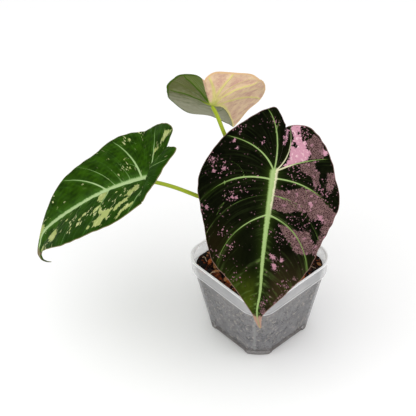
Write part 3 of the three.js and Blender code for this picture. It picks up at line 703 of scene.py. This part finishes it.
def blade_half(leaf, side):
    """Grids of points and fields for one half: top and back, from the tip row to the sinus row."""
    at = np.linspace(0, LAST_PLACE, LAST_PLACE * leaf["rows"] + 1)
    share = np.linspace(0, 1, leaf["columns"] + 1) ** 1.1
    rows = vein_row(leaf, side, at, share)
    across, along = rows[..., 0], rows[..., 1]
    fields = blade_fields(leaf, side, rows, at, share)
    edge, dip = fields["edge"], fields["dip"]
    s, t = share[None], at[:, None]
    phase = 0.6 if side == "left" else 2.9
    wave = leaf["wave"] * s ** 3 * np.sin(t * 2.4 + phase)
    wave = wave * np.minimum(1, t / 2) * (1 - 0.7 * smooth(t, 5, 7))
    body = smooth(edge, 0, 4)
    pillow = PILLOW * (1 - np.exp(-fields["nearest"] / 3.5)) * body
    crinkle = CRINKLE * blade_waves(across, along, 4, seed=21) * body
    lift = wave + pillow + crinkle - VEIN_DIP * dip * smooth(edge, 0, 2)
    at_sinus = smooth(t, 9.6, 10.9) * smooth(s, 0.05, 0.3)
    lift = lift + leaf["sinus_lifts"][SIDES.index(side)] * at_sinus
    thick = HALF_EDGE + (HALF_BODY - HALF_EDGE) * smooth(edge, 0, 2.5)
    below = thick + BACK_RIDGE * dip * smooth(edge, 0, 4) + BACK_DIP * dip
    normal = blade_normal(leaf, across, along)
    middle = blade_point(leaf, across, along)
    top, back = (middle + normal * height[..., None] for height in (lift + thick, lift - below))
    return top, back, fields


def blade_mesh(name, leaf, materials):
    """The closed blade: both halves share the midrib, and a thin wall joins top and back at the margin."""
    points, ground, faces, kinds = [], [], [], []
    data = {key: [] for key in ("rib", "edge", "across", "along", "place", "share")}
    count = 0
    for side in SIDES:
        top, back, fields = blade_half(leaf, side)
        shape = top.shape[:2]
        grids = []
        for skin in (top, back):
            grids.append(np.arange(shape[0] * shape[1]).reshape(shape) + count)
            count += shape[0] * shape[1]
            points.append(skin.reshape(-1, 3))
            ground.append(ground_colour(name, fields, skin is top).reshape(-1, 3))
            for key, values in data.items():
                values.append(fields[key].ravel())
        upper, lower = grids
        flip = side == "left"
        for kind, grid, turn_over in ((1, lower, not flip), (0, upper, flip)):
            quads = [grid[:-1, :-1], grid[:-1, 1:], grid[1:, 1:], grid[1:, :-1]]
            quads = np.stack(quads, axis=-1).reshape(-1, 4)
            faces += (quads[:, ::-1] if turn_over else quads).tolist()
            kinds += [kind] * len(quads)
        for rim in (np.s_[:, -1], np.s_[-1, ::-1]):
            above, below = upper[rim], lower[rim]
            wall = np.stack([above[:-1], below[:-1], below[1:], above[1:]], axis=-1)
            faces += (wall[:, ::-1] if flip else wall).tolist()
            kinds += [0] * len(wall)
    data = {key: np.concatenate(values) for key, values in data.items()}
    across, along = data["across"], data["along"]
    fields = {
        "rib": np.maximum(data["rib"], -3),
        "edge": data["edge"],
        "flat": np.stack([across, along, np.zeros_like(across)], axis=-1),
        "flow": np.stack([data["place"], data["share"], np.sign(across) * 5], axis=-1),
        "ground": np.hstack([np.vstack(ground), np.ones((len(across), 1))]),
        **marking_fields(name, across, along),
    }
    points = turned(placed(leaf, np.vstack(points)))
    thing = make_mesh("leaf_" + name, points, faces, materials, kinds, fields)
    weld(thing)
    shade(thing, 62)
    finish_piece(thing, "blade_" + name)


def weld(thing):
    """Joins the points that the halves share, and the rows that start at one point."""
    work = bmesh.new()
    work.from_mesh(thing.data)
    bmesh.ops.remove_doubles(work, verts=work.verts, dist=0.02 * MM)
    bmesh.ops.dissolve_degenerate(work, edges=work.edges, dist=0.01 * MM)
    bmesh.ops.recalc_face_normals(work, faces=work.faces)
    work.to_mesh(thing.data)
    work.free()


def marking_fields(name, across, along):
    """How deep each point is inside the pink or cream and the mauve, and how thick flecks lie there."""
    mauve = np.full(across.shape, OUTSIDE)
    if name == "back":
        gone = np.clip(along / LEAVES["back"]["left"][0][1], 0, 1)
        pink = midrib_across(LEAVES["back"], gone) - across + 0.3
        return {"pink": pink, "mauve": mauve, "flecks": scatter(BACK_FLECKS, across, along)}
    marks = FRONT_PINK if name == "front" else LEFT_CREAM
    pink = patches(marks, across, along)
    if name == "front":
        cut = patches(FRONT_CUTS, across, along)
        pink = np.minimum(pink, -cut)
        mauve = np.minimum(patches(FRONT_MAUVE, across, along), -cut)
    return {"pink": pink, "mauve": mauve, "flecks": scatter(marks["flecks"], across, along)}


# Leaf finishes: the colours of each blade, and how ragged its markings are

COMMON_LOOK = dict(cells=(1, 1, 1), cells_field="flat", line_share=0.16, rib_lines=0.3, tip_lines=0, faded=0)
LEAF_LOOKS = {
    "front": dict(
        specular=0.01, roughness=0.65, ragged=0.8, line="#6d8745", line_share=0.05, rib_lines=0.5,
        tip_lines=0.2, patch="#c48ea0", patch_light="#e6c6ca", faded=0.6, fleck="#9a6f7a", mauve="#382526",
        net="#7f6361", vein="#a0b878", vein_deep="#58752c", cream="#dcd8b4", margin="#8a6c64",
        plain_margin="#8a6c64", tail="#a98877", tail_from=99.5, under_patch="#c9a39c", under_vein="#94a05c",
    ),
    "left": dict(
        specular=0.015, roughness=0.55, ragged=1, cells=(16, 11, 1), cells_field="flow", line="#4e8030",
        patch="#9fab66", patch_light="#c6ca92", fleck="#b9bf86", vein="#abc28c", vein_deep="#6a9048",
        cream="#abc28c", margin="#857f55", plain_margin="#857f55", tail="#74604a", tail_from=102,
        under_patch="#c6cf98", under_vein="#a9c880",
    ),
    "back": dict(
        specular=0.05, roughness=0.6, ragged=0.1, line="#2c3d14", patch="#a07078", patch_light="#c8a0a0",
        fleck="#a07880", vein="#b2c684", vein_deep="#7f9c50", cream="#b2c684", margin="#dfba8c",
        plain_margin="#465c12", tail="#b08d7c", tail_from=200, under_patch="#e4c7a4", under_vein="#d3cb7c",
    ),
}


def side_lines(f, low, high):
    """Fine raised lines that run with the veins, as 0 to 1."""
    lines = f.noise(f.scaled(f.field("flow", "Vector"), (11, 1.4, 1)), 1.0, 3, 0.55, 0.15)
    return f.step(lines, low, high)


def blade_top(name):
    look = COMMON_LOOK | LEAF_LOOKS[name]
    f = Finish(f"{name}_blade_top", Roughness=look["roughness"], Specular_IOR_Level=look["specular"])
    flat, flow = f.field("flat", "Vector"), f.field("flow", "Vector")
    rib, pink = f.field("rib"), f.field("pink")
    across, along = f.part(flat, "X"), f.part(flat, "Y")
    out = f.times(along, -1)

    # Torn borders of the markings, and flecks
    torn = f.warped(f.scaled(f.field(look["cells_field"], "Vector"), look["cells"]), 1.3, 0.9)
    pushes = ((f.cell_value(torn, 0.9), 1.3), (f.cell_value(torn, 1.9), 0.9),
              (f.noise(torn, 0.6, 4, 0.7), 4.5))
    ragged = f.total(*(f.times(f.centred(push), most * look["ragged"]) for push, most in pushes))
    crowded = f.step(f.noise(torn, 0.32, 3, 0.6), 0.38, 0.62)
    density = f.times(f.total(f.field("flecks"), 0.0015), f.times(crowded, 1.5))
    flecked = f.step(f.math("SUBTRACT", density, f.cell_value(torn, 1.35)), -0.015, 0.015)

    # Ground with its fine lines, then mauve and pink
    fine = f.noise(flat, 2.4, 3, 0.6)
    near_rib = f.times(f.step(rib, -3, -0.6), f.step(out, 15, 35))
    line_share = f.total(look["line_share"], f.times(near_rib, look["rib_lines"]),
                         f.times(f.step(out, 50, 88), look["tip_lines"]))
    colour = f.layers(f.field("ground", "Color"), (side_lines(f, 0.5, 0.68), line_share, look["line"]))
    colour = f.darkened(f.step(fine, 0.35, 0.75), colour, (0.7, 0.7, 0.7))
    net = f.cells(flat, 0.95, "Distance", "DISTANCE_TO_EDGE")
    if "mauve" in look:
        dusty = f.layers(f.mix(f.step(net, 0.03, 0.17), look["net"], look["mauve"]),
                         (side_lines(f, 0.6, 0.72), 0.35, look["net"]),
                         (f.step(f.noise(flat, 0.3, 3), 0.56, 0.72), 0.5, look["patch"]))
        ragged_mauve = f.total(f.field("mauve"), ragged)
        colour = f.mix(f.step(ragged_mauve, -0.12, 0.12), colour, dusty)
        flecked = f.times(flecked, f.fade(ragged_mauve, -0.2, 0.3))
    patch = f.mix(f.step(f.noise(torn, 0.5, 3, 0.6), 0.52, 0.7), look["patch"], look["patch_light"])
    outer = f.math("MAXIMUM", f.step(out, 8, 16), f.step(f.times(across, -1), 12, 20))
    patch = f.layers(patch, (outer, look["faded"], look["fleck"]))
    colour = f.mix(f.step(f.total(pink, ragged), -0.12, 0.12), colour, patch)
    colour = f.mix(flecked, colour, look["fleck"])

    # Margin and tip
    margin_tone = f.mix(f.step(pink, -0.3, 0.3), look["plain_margin"], look["margin"])
    colour = f.layers(colour, (f.fade(f.field("edge"), 0.2, 0.6), 0.8, margin_tone))
    tail = f.step(f.total(out, ragged), look["tail_from"] - 1.5, look["tail_from"] + 1.5)
    colour = f.mix(tail, colour, look["tail"])

    # Veins, creamy round the junction
    feather = f.noise(f.scaled(flow, (30, 3, 1)), 1.0, 2, 0.5)
    rough_rib = f.total(rib, f.times(f.centred(feather), 0.8))
    cream_side = f.times(f.step(f.total(across, f.times(ragged, 0.5)), 0.7, 1.5), f.step(along, -32, -20))
    by_joint = f.times(f.step(along, -0.5, 1.5), f.fade(across, 9, 16))
    cream_side = f.times(cream_side, f.math("MAXIMUM", by_joint, f.fade(across, 2.6, 4)))
    vein = f.layers(f.mix(f.step(rough_rib, -0.1, 0.6), look["vein_deep"], look["vein"]),
                    (cream_side, 0.9, look["cream"]),
                    (f.step(f.part(flow, "Y"), 0.2, 0.95), 0.6, look["vein_deep"]))
    before_tail = f.math("SUBTRACT", 1, f.times(tail, 0.6))
    f.set(Base_Color=f.layers(colour, (f.step(rough_rib, -0.15, 0.3), before_tail, vein)))
    f.bump(f.total(f.times(fine, 0.4), f.times(f.step(net, 0, 0.3), 0.6)), 0.16, 0.5)
    return f.material


def blade_back(name):
    look = LEAF_LOOKS[name]
    f = Finish(f"{name}_blade_back", Roughness=0.6, Specular_IOR_Level=0.06)
    flat, rib = f.field("flat", "Vector"), f.field("rib")
    fine, lines = f.noise(flat, 1.6, 3, 0.6), side_lines(f, 0.5, 0.7)
    ragged = f.times(f.centred(f.noise(flat, 0.55, 3)), 5 * look["ragged"])
    pale = f.total(f.math("MAXIMUM", f.field("pink"), f.field("mauve")), ragged)
    pale = f.step(pale, -0.25, 0.25)
    colour = f.darkened(f.step(fine, 0.3, 0.8), f.field("ground", "Color"), (0.8, 0.8, 0.8))
    blush = f.step(f.noise(flat, 0.12, 4, 0.65), 0.42, 0.64)
    specks = f.step(f.noise(flat, 1.3, 3, 0.7), 0.56, 0.66)
    patch = f.layers(f.mix(blush, look["under_patch"], "#cfa693"),
                     (specks, f.total(0.25, f.times(blush, 0.5)), "#9c6c5e"))
    colour = f.layers(f.mix(pale, colour, patch), (lines, 0.3, f.mix(pale, "#9ea083", "#dcbf98")))
    pale_vein = f.times(f.step(rib, -1.8, 0.3), 0.85)
    vein_share = f.node("Mix", {0: pale, 2: f.step(rib, -0.3, 0.2), 3: pale_vein}, 0)
    from_joint = f.node("VectorMath", {0: flat}, 1, operation="LENGTH")
    vein = f.layers(f.mix(pale, "#3c5a0a", look["under_vein"]), (f.fade(from_joint, 2, 9), 0.8, "#9fb02c"))
    colour = f.mix(vein_share, colour, vein)
    colour = f.mix(f.fade(f.field("edge"), 0.9, 1.9), colour, f.mix(pale, "#41580c", look["margin"]))
    f.set(Base_Color=colour)
    f.bump(f.total(f.times(lines, 0.5), f.times(fine, 0.5)), 0.2, 0.5)
    return f.material


# Leaf stalks

def stalk_path(leaf):
    """The solid's route, from inside the crown to its seat under the blade."""
    axes = blade_axes(leaf)
    back = -axes[2]
    end = np.array(leaf["junction"]) + back * (
        BLADE_THICKNESS / 2 + MIDRIB_DIP + GAP + leaf["stalk_lean"] * STALK_TIP_RADIUS)
    foot, *way = leaf["stem"]
    start = (foot[0], foot[1], CROWN_TOP_Z - 2)
    rise = (foot[0], foot[1], CROWN_TOP_Z + STALK_RISE)
    return path_through([start, rise, *way, end], STALK_STEPS)


def tube(line, radii, sides):
    """A closed tube round a line, with a radius for each of its points."""
    run = np.gradient(line, axis=0)
    run /= np.linalg.norm(run, axis=1, keepdims=True)
    spoke = np.cross(run[0], (0.3, 0.9, 0.1))
    rings = []
    angles = np.arange(sides) * math.tau / sides
    for centre, direction, radius in zip(line, run, radii):
        spoke = spoke - direction * (spoke @ direction)
        spoke /= np.linalg.norm(spoke)
        other = np.cross(direction, spoke)
        rings.append(centre + radius * (np.cos(angles)[:, None] * spoke + np.sin(angles)[:, None] * other))
    return capped_skin(rings)


def stalk_piece(name, leaf, material):
    line = stalk_path(leaf)
    share = np.linspace(0, 1, len(line))
    radii = STALK_RADIUS + (STALK_TIP_RADIUS - STALK_RADIUS) * share
    radii = radii + (SHEATH_RADIUS - radii) * np.exp(-9 * share)
    radii *= 1 - 0.35 * smooth(share, 0.985, 1)
    sides = 24
    points, faces = tube(line, radii, sides)
    along = np.concatenate([np.repeat(share * 100, sides), [0, 100]])
    around = np.concatenate([np.tile(np.arange(sides) / sides, len(line)), [0, 0]])
    flat = np.stack([np.cos(around * math.tau), np.sin(around * math.tau), along * 0.05], axis=-1)
    thing = make_mesh("stalk_" + name, turned(points), faces, [material],
                      fields={"flat": flat, "reach": along / 100})
    shade(thing, 60)
    finish_piece(thing, "petiole_" + name)


def stalk_finish():
    f = Finish("stalk", Roughness=0.45, Specular_IOR_Level=0.12)
    streaks = f.noise(f.scaled(f.field("flat", "Vector"), (6, 6, 1.2)), 1.0, 3, 0.55)
    colour = f.mix(f.step(streaks, 0.35, 0.7), "#8c9f1c", "#aab83c")
    colour = f.mix(f.fade(f.field("reach"), 0.02, 0.22), colour, "#8a8a4a")
    colour = f.mix(f.step(f.noise(f.place(), 900, 2), 0.62, 0.75), colour, "#7f9430")
    f.set(Base_Color=colour)
    f.bump(streaks, 0.12, 0.5)
    return f.material


# Pot

def section(half, corner, roundness, steps=14):
    """One closed section of the pot, counterclockwise, as in the solids but with finer corners."""
    share = np.linspace(0, 1, steps + 1)
    angle = share * math.pi / 2
    x = half - corner + corner * ((1 - share) * (1 - roundness) + np.cos(angle) * roundness)
    y = half - corner + corner * (share * (1 - roundness) + np.sin(angle) * roundness)
    quarter = np.stack([x, y], axis=-1)
    turns = []
    for k in range(4):
        c, s = math.cos(k * math.pi / 2), math.sin(k * math.pi / 2)
        turns.append(quarter @ np.array([[c, s], [-s, c]]))
    return np.vstack(turns)


def body_half(z):
    return BODY_FOOT_HALF + (BODY_TOP_HALF - BODY_FOOT_HALF) * z / BAND_FOOT_Z


def inner_section(z, clearance=0.0, steps=14):
    inset = WALL + clearance
    if z <= BODY_WALL_TOP:
        return section(body_half(z) - inset, BODY_CORNER - inset / 2, BODY_ROUNDNESS, steps)
    share = math.sqrt((z - BODY_WALL_TOP) / (POT_HEIGHT - BODY_WALL_TOP))
    half = BODY_TOP_HALF + (RIM_HALF - LIP_WIDTH + WALL - BODY_TOP_HALF) * share
    corner = BODY_CORNER + (RIM_CORNER - BODY_CORNER) * share
    return section(half - inset, corner - inset / 2, BODY_ROUNDNESS + (1 - BODY_ROUNDNESS) * share, steps)


def pot_profile():
    """The pot's sections from its foot, up outside, over the lip and down inside to its floor."""
    rings = []

    def add(z, half, corner=BODY_CORNER, roundness=BODY_ROUNDNESS):
        rings.append(at_height(section(half, corner, roundness), z))

    foot_edge = 1
    for angle in np.linspace(0, math.pi / 2, 5):
        z = foot_edge * (1 - math.cos(angle))
        add(z, body_half(z) - foot_edge * (1 - math.sin(angle)) * 0.8)
    for z in np.linspace(4, BAND_FOOT_Z - 0.8, 14):
        add(z, body_half(z))
    for share in np.linspace(0, 1, 6):
        turn = share * math.pi / 2
        half = BODY_TOP_HALF + (BAND_FOOT_HALF - BODY_TOP_HALF) * math.sin(turn)
        corner = BODY_CORNER + (RIM_CORNER - BODY_CORNER) * share
        z = BAND_FOOT_Z - 0.6 + 0.9 * (1 - math.cos(turn))
        add(z, half, corner, BODY_ROUNDNESS + (1 - BODY_ROUNDNESS) * share)
    for z in np.linspace(BAND_FOOT_Z + 1.5, POT_HEIGHT - 0.9, 7):
        share = (z - BAND_FOOT_Z) / (POT_HEIGHT - BAND_FOOT_Z)
        add(z, BAND_FOOT_HALF + (RIM_HALF - BAND_FOOT_HALF) * share, RIM_CORNER, 1)
    lip = LIP_WIDTH / 2
    for angle in np.linspace(0, math.pi, 9)[1:-1]:
        inset = lip * (1 - math.cos(angle))
        add(POT_HEIGHT - lip + lip * math.sin(angle), RIM_HALF - inset, RIM_CORNER - inset / 2, 1)
    band_inside = np.linspace(POT_HEIGHT - 1, BODY_WALL_TOP, 10)
    body_inside = np.linspace(48, FLOOR_TOP_Z + 1, 8)
    for z in (*band_inside, *body_inside, FLOOR_TOP_Z):
        rings.append(at_height(inner_section(z), z))
    return rings


def cutter(centre, size=None, radius=None, depth=20):
    """A plain box or round bar that a boolean takes away from the pot or adds to it."""
    work = bmesh.new()
    if radius is None:
        bmesh.ops.create_cube(work, size=1)
        bmesh.ops.scale(work, vec=[v * MM for v in size], verts=work.verts)
    else:
        bmesh.ops.create_cone(work, cap_ends=True, segments=40, radius1=radius * MM, radius2=radius * MM,
                              depth=depth * MM)
    bmesh.ops.translate(work, vec=[v * MM for v in centre], verts=work.verts)
    mesh = bpy.data.meshes.new("cutter")
    work.to_mesh(mesh)
    work.free()
    return linked("cutter", mesh)


def carve(thing, tool, operation="DIFFERENCE"):
    """Applies one boolean and removes its tool."""
    modifier = thing.modifiers.new("carve", "BOOLEAN")
    modifier.operation = operation
    modifier.solver = "EXACT"
    modifier.object = tool
    bpy.context.view_layer.update()
    result = bpy.data.meshes.new_from_object(thing.evaluated_get(bpy.context.evaluated_depsgraph_get()))
    thing.modifiers.clear()
    old = thing.data
    thing.data = result
    bpy.data.meshes.remove(old)
    bpy.data.objects.remove(tool)


def pot_piece(material):
    thing = make_mesh("clear_pot", *capped_skin(pot_profile()), [material])
    across, gap, high = BODY_TOP_HALF * 2, FOOT_GAP_HALF * 2, FOOT_LIFT * 2
    for size in ((across, gap, high), (gap, across, high)):
        carve(thing, cutter((0, 0, 0), size))
    pad_height = FLOOR_TOP_Z - 0.2
    carve(thing, cutter((0, 0, pad_height / 2), radius=CENTRE_PAD_RADIUS, depth=pad_height), "UNION")
    for x in (-DRAIN_CENTRE, DRAIN_CENTRE):
        for y in (-DRAIN_CENTRE, DRAIN_CENTRE):
            carve(thing, cutter((x, y, 0), radius=DRAIN_RADIUS))
    thing.data.materials.clear()
    thing.data.materials.append(material)
    shade(thing, 34)
    finish_piece(thing, "pot")


def pot_finish():
    f = Finish("clear_plastic", Roughness=0.36, Specular_IOR_Level=0.4)
    place, height = f.place(), f.height()
    haze = f.noise(place, 45, 4, 0.6)
    streaks = f.noise(f.scaled(place, (260, 260, 18)), 1.0, 3, 0.5)
    band = f.step(height, BAND_FOOT_Z - 0.8, BAND_FOOT_Z - 0.3)
    # The band's lower edge and the lip are made more opaque, so whiter: painted highlights
    band_edge_highlight = f.times(band, f.fade(height, BAND_FOOT_Z + 0.5, BAND_FOOT_Z + 1.2))
    lip = f.step(height, POT_HEIGHT - 1.7, POT_HEIGHT - 0.9)
    mud = f.times(f.fade(height, 2.5, 10), f.step(f.noise(place, 260, 4, 0.7), 0.36, 0.48))
    # A pale vertical strip beside each cut corner of the body: a painted highlight
    x, y = f.part(place, "X"), f.part(place, "Y")
    turn = f.times(f.math("SUBTRACT", f.math("ABSOLUTE", x), f.math("ABSOLUTE", y)),
                   f.math("SIGN", f.times(x, y)))
    painted_edge_highlight = f.times(f.step(turn, 1.5 * MM, 4 * MM), f.fade(turn, 4 * MM, 7 * MM))
    body = f.layers(f.mix(f.step(f.noise(place, 150, 4, 0.7), 0.36, 0.64), "#7e7e81", "#9d9c9e"),
                    (f.step(height, 30, 54), 0.3, "#b3b0ad"),
                    (f.step(f.cell_value(place, 1000), 0.84, 0.86), 0.6, "#4f4a48"),
                    (f.step(f.cell_value(place, 780), 0.93, 0.95), 0.8, "#cfc6ba"),
                    (painted_edge_highlight, 0.35, "#c9cac8"),
                    (mud, 0.9, "#403024"),
                    # Darker along the foot: a painted contact shadow, with some dirt
                    (f.fade(height, 1.2, 2.6), 1, "#51463e"))
    f.set(Base_Color=f.mix(band, body, f.mix(f.step(haze, 0.35, 0.7), "#eeeef0", "#fafafa")))
    shares = ((haze, 0.08), (band, -0.2), (lip, 0.6), (band_edge_highlight, 0.35))
    f.set(Alpha=f.total(0.46, *(f.times(where, share) for where, share in shares)))
    f.bump(f.total(f.times(haze, 0.7), f.times(streaks, 0.3)), 0.25, 0.4)
    return f.material


# Potting mix

def mix_height(x, y):
    out = np.minimum(1, np.hypot(x, y) / RIM_HALF)
    lumps = np.sin(x * 0.55 + 1.3) * np.sin(y * 0.49 + 0.4) + 0.7 * np.sin(x * 0.23 - y * 0.31)
    fine = 0.5 * np.sin(x * 1.1 + y * 0.7) * np.sin(y * 1.3 - x * 0.4)
    return MIX_EDGE_Z + MIX_MOUND * (1 - out * out) + 0.65 * (lumps + fine)


def lump(random, size):
    """A rough rounded scrap: a small ball with each point pulled in by its own amount."""
    work = bmesh.new()
    bmesh.ops.create_icosphere(work, subdivisions=2, radius=0.5)
    points = np.array([v.co for v in work.verts])
    faces = [[v.index for v in face.verts] for face in work.faces]
    work.free()
    pull = 1 + 0.28 * waves(points, 0.35, int(random.integers(1 << 30)))
    points = points * pull[:, None] * size
    spin = Matrix.Rotation(random.uniform(0, math.tau), 3, random.normal(size=3).tolist())
    tilt = Matrix.Rotation(random.uniform(-0.5, 0.5), 3, "X")
    tilt = tilt @ Matrix.Rotation(random.uniform(0, math.tau), 3, "Z")
    turn = np.array(tilt if size[2] < 0.6 * size[0] else spin)
    return points @ turn.T, faces


CHIP_TONES = ["#200e07", "#3c1a0c", "#572610", "#743616", "#8f4a22", "#140a06", "#4a200e", "#a07048"]


def mix_piece(material):
    """The mix's skin with a lumpy top, and scraps of bark, coir crumbs and fibres scattered over it."""
    rings = []
    for z in (*np.linspace(FLOOR_TOP_Z + GAP, BODY_WALL_TOP - GAP, 24), MIX_EDGE_Z):
        rings.append(at_height(inner_section(max(z - GAP, FLOOR_TOP_Z), GAP, 20), z))
    edge = rings[-1][:, :2]
    top_rings = 44
    for ring in range(1, top_rings):
        share = 1 - ring / top_rings
        spot = edge * share
        rough = waves(spot, 2.2, seed=31) * 0.5 + waves(spot, 1.1, seed=32) * 0.3
        rise = mix_height(*spot.T) - MIX_EDGE_Z + rough
        rings.append(at_height(spot, MIX_EDGE_Z + rise * smooth(1 - share, 0, 0.06)))
    bits = [(*capped_skin(rings), "#0f0805")]
    random = np.random.default_rng(MIX_SEED)
    while len(bits) <= SCRAPS:
        big = len(bits) <= BIG_SCRAPS
        long = random.uniform(3, 6.5) if big else random.uniform(1.2, 3.2)
        x, y = random.uniform(-1, 1, 2) * (SCRAP_REACH - 0.45 * long)
        if abs(x) + abs(y) > SCRAP_CORNER - 0.5 * long or math.hypot(x, y) < SCRAP_CLEAR:
            continue
        size = np.array([long, long * random.uniform(0.45, 0.8), long * random.uniform(0.25, 0.6)])
        scrap, faces = lump(random, size)
        scrap = scrap + (x, y, float(mix_height(x, y)) + 0.25 * size[2])
        tint = CHIP_TONES[int(random.integers(len(CHIP_TONES)))]
        if big and random.random() < 0.2:
            tint = "#a25523"
        bits.append((scrap, faces, tint))
    t = np.linspace(-0.5, 0.5, 8)[:, None]
    for _ in range(FIBRES):
        x, y = random.uniform(-FIBRE_REACH, FIBRE_REACH, 2)
        if abs(x) + abs(y) > FIBRE_CORNER or math.hypot(x, y) < FIBRE_CLEAR:
            continue
        heading = random.uniform(0, math.tau)
        reach = random.uniform(3, 9)
        way = np.array([math.cos(heading), math.sin(heading), 0])
        side = np.array([-way[1], way[0], 0])
        line = np.array([x, y, 0]) + way * t * reach + side * 1.6 * np.sin(t * 4 + heading)
        line[:, 2] = mix_height(line[:, 0], line[:, 1]) + 1.0 + 0.8 * np.cos(t[:, 0] * 3)
        fibre = tube(line, np.full(8, random.uniform(0.12, 0.28)), 5)
        bits.append((*fibre, "#c8b394" if random.random() < 0.2 else "#4a2412"))
    faces, count = [], 0
    for bit, bit_faces, _ in bits:
        faces += [[i + count for i in face] for face in bit_faces]
        count += len(bit)
    tints = np.vstack([np.tile((*tone(tint), 1), (len(bit), 1)) for bit, _, tint in bits])
    points = np.vstack([bit for bit, _, _ in bits])
    thing = make_mesh("mix", points, faces, [material], fields={"tint": tints})
    shade(thing, 50)
    finish_piece(thing, "potting_mix")


def mix_finish():
    f = Finish("bark_and_coir", Roughness=0.85, Specular_IOR_Level=0.2)
    place = f.place()
    grain = f.noise(place, 900, 4, 0.65)
    colour = f.darkened(f.step(grain, 0.35, 0.75), f.field("tint", "Color"), (0.45, 0.42, 0.4))
    wall = f.mix(f.step(f.noise(place, 70, 4, 0.6), 0.4, 0.65), "#1b1715", "#332b28")
    wall = f.mix(f.step(f.cell_value(f.scaled(place, (1, 1, 0.8)), 620), 0.9, 0.93), wall, "#8d7a66")
    wall = f.mix(f.step(f.cell_value(place, 380), 0.93, 0.95), wall, "#b3a58f")
    wall = f.mix(f.step(f.cell_value(place, 300), 0.88, 0.9), wall, "#0d0a09")
    f.set(Base_Color=f.mix(f.fade(f.height(), MIX_EDGE_Z - 2, MIX_EDGE_Z - 0.5), colour, wall))
    f.bump(grain, 0.5, 0.7)
    return f.material


# Crown

def crown_piece(material):
    """A short ringed stem, its top drawn up round each stalk."""
    angles = np.arange(48) * math.tau / 48
    circle = np.stack([np.cos(angles), np.sin(angles)], axis=-1)
    rings = []
    for z in np.linspace(CROWN_FOOT_Z, CROWN_TOP_Z, 36):
        radius = CROWN_RADIUS - 0.6 * smooth(z, 60, CROWN_TOP_Z) - 1.2 * smooth(50 - z, 0, 2)
        radius = radius - 0.45 * abs(math.sin(z * 0.9)) - 0.2 * np.sin(angles * 5 + z * 0.4)
        rings.append(at_height(circle * radius[:, None], z))
    rim = rings[-1][:, :2]
    feet = np.array([leaf["stem"][0] for leaf in LEAVES.values()])
    for ring in range(1, 14):
        flat = rim * (1 - ring / 14)
        near = np.linalg.norm(flat[:, None] - feet[None], axis=-1).min(1)
        rings.append(at_height(flat, CROWN_TOP_Z + 2.6 * np.exp(-(near / 2.6) ** 2)))
    points, faces = capped_skin(rings)
    thing = make_mesh("crown_stem", turned(points), faces, [material])
    shade(thing, 60)
    finish_piece(thing, "crown")


def crown_finish():
    f = Finish("crown_tissue", Roughness=0.6, Specular_IOR_Level=0.3)
    rings = f.noise(f.scaled(f.place(), (120, 120, 700)), 1.0, 4, 0.6)
    colour = f.mix(f.step(rings, 0.4, 0.65), "#6b5a34", "#3f2c1a")
    f.set(Base_Color=f.mix(f.step(f.height(), CROWN_TOP_Z - 2, CROWN_TOP_Z + 2), colour, "#8d9640"))
    f.bump(rings, 0.6, 0.7)
    return f.material


# Build the plant and its pot

for leaf_name, leaf_form in LEAVES.items():
    blade_mesh(leaf_name, leaf_form, [blade_top(leaf_name), blade_back(leaf_name)])
stalk_material = stalk_finish()
for leaf_name, leaf_form in LEAVES.items():
    stalk_piece(leaf_name, leaf_form, stalk_material)
crown_piece(crown_finish())
mix_piece(mix_finish())
pot_piece(pot_finish())


# Floor, light and camera

FLOOR_HALF = 6000
SKY_STRENGTH = 0.94
LAMP_SIZE = 700
LAMP_TARGET = (-20, 0, 90)
LAMPS = [("key", (-300, -260, 820), 1.8), ("fill", (560, -240, 640), 1.1)]
CAMERA_RISE, CAMERA_ROLL = 42.2, 1.2
CAMERA_AWAY = 1051
CAMERA_TARGET = (-36.4, 0, 114.7)
CAMERA_LENS, SENSOR, NEAR_CLIP = 130, 36, 0.05


def aimed(name, data, right, up, back, place):
    """A lamp or camera with its own axes and its place, all given in the plant's frame."""
    thing = linked(name, data)
    columns = [turned(v) for v in (right, up, back, np.asarray(place) * MM)]
    thing.matrix_world = Matrix([*zip(*columns), (0, 0, 0, 1)])
    return thing


def studio():
    f = Finish("floor", Roughness=0.9, Specular_IOR_Level=0.1, Base_Color=(0.93, 0.93, 0.93))
    corners = [(x * FLOOR_HALF, y * FLOOR_HALF, 0) for x, y in ((-1, -1), (1, -1), (1, 1), (-1, 1))]
    make_mesh("floor", corners, [(0, 1, 2, 3)], [f.material])
    world = bpy.data.worlds.new("studio")
    world.use_nodes = True
    sky = world.node_tree.nodes["Background"]
    sky.inputs["Color"].default_value = (1, 1, 1, 1)
    sky.inputs["Strength"].default_value = SKY_STRENGTH
    bpy.context.scene.world = world
    for name, place, power in LAMPS:
        light = bpy.data.lights.new(name, "AREA")
        light.shape = "DISK"
        light.size = LAMP_SIZE * MM
        light.energy = power
        back = np.subtract(place, LAMP_TARGET)
        back = back / np.linalg.norm(back)
        right = np.cross((0, 0, 1), back)
        right /= np.linalg.norm(right)
        aimed(name, light, right, np.cross(back, right), back, place)


def camera():
    rise, roll = math.radians(CAMERA_RISE), math.radians(CAMERA_ROLL)
    back = np.array([0, -math.cos(rise), math.sin(rise)])
    right = np.array([1.0, 0, 0])
    up = np.cross(back, right)
    right, up = right * math.cos(roll) - up * math.sin(roll), right * math.sin(roll) + up * math.cos(roll)
    data = bpy.data.cameras.new("camera")
    data.lens = CAMERA_LENS
    data.sensor_width = SENSOR
    data.clip_start = NEAR_CLIP
    bpy.context.scene.camera = aimed("camera", data, right, up, back, CAMERA_TARGET + back * CAMERA_AWAY)


studio()
camera()
bpy.context.scene.view_settings.view_transform = "Standard"
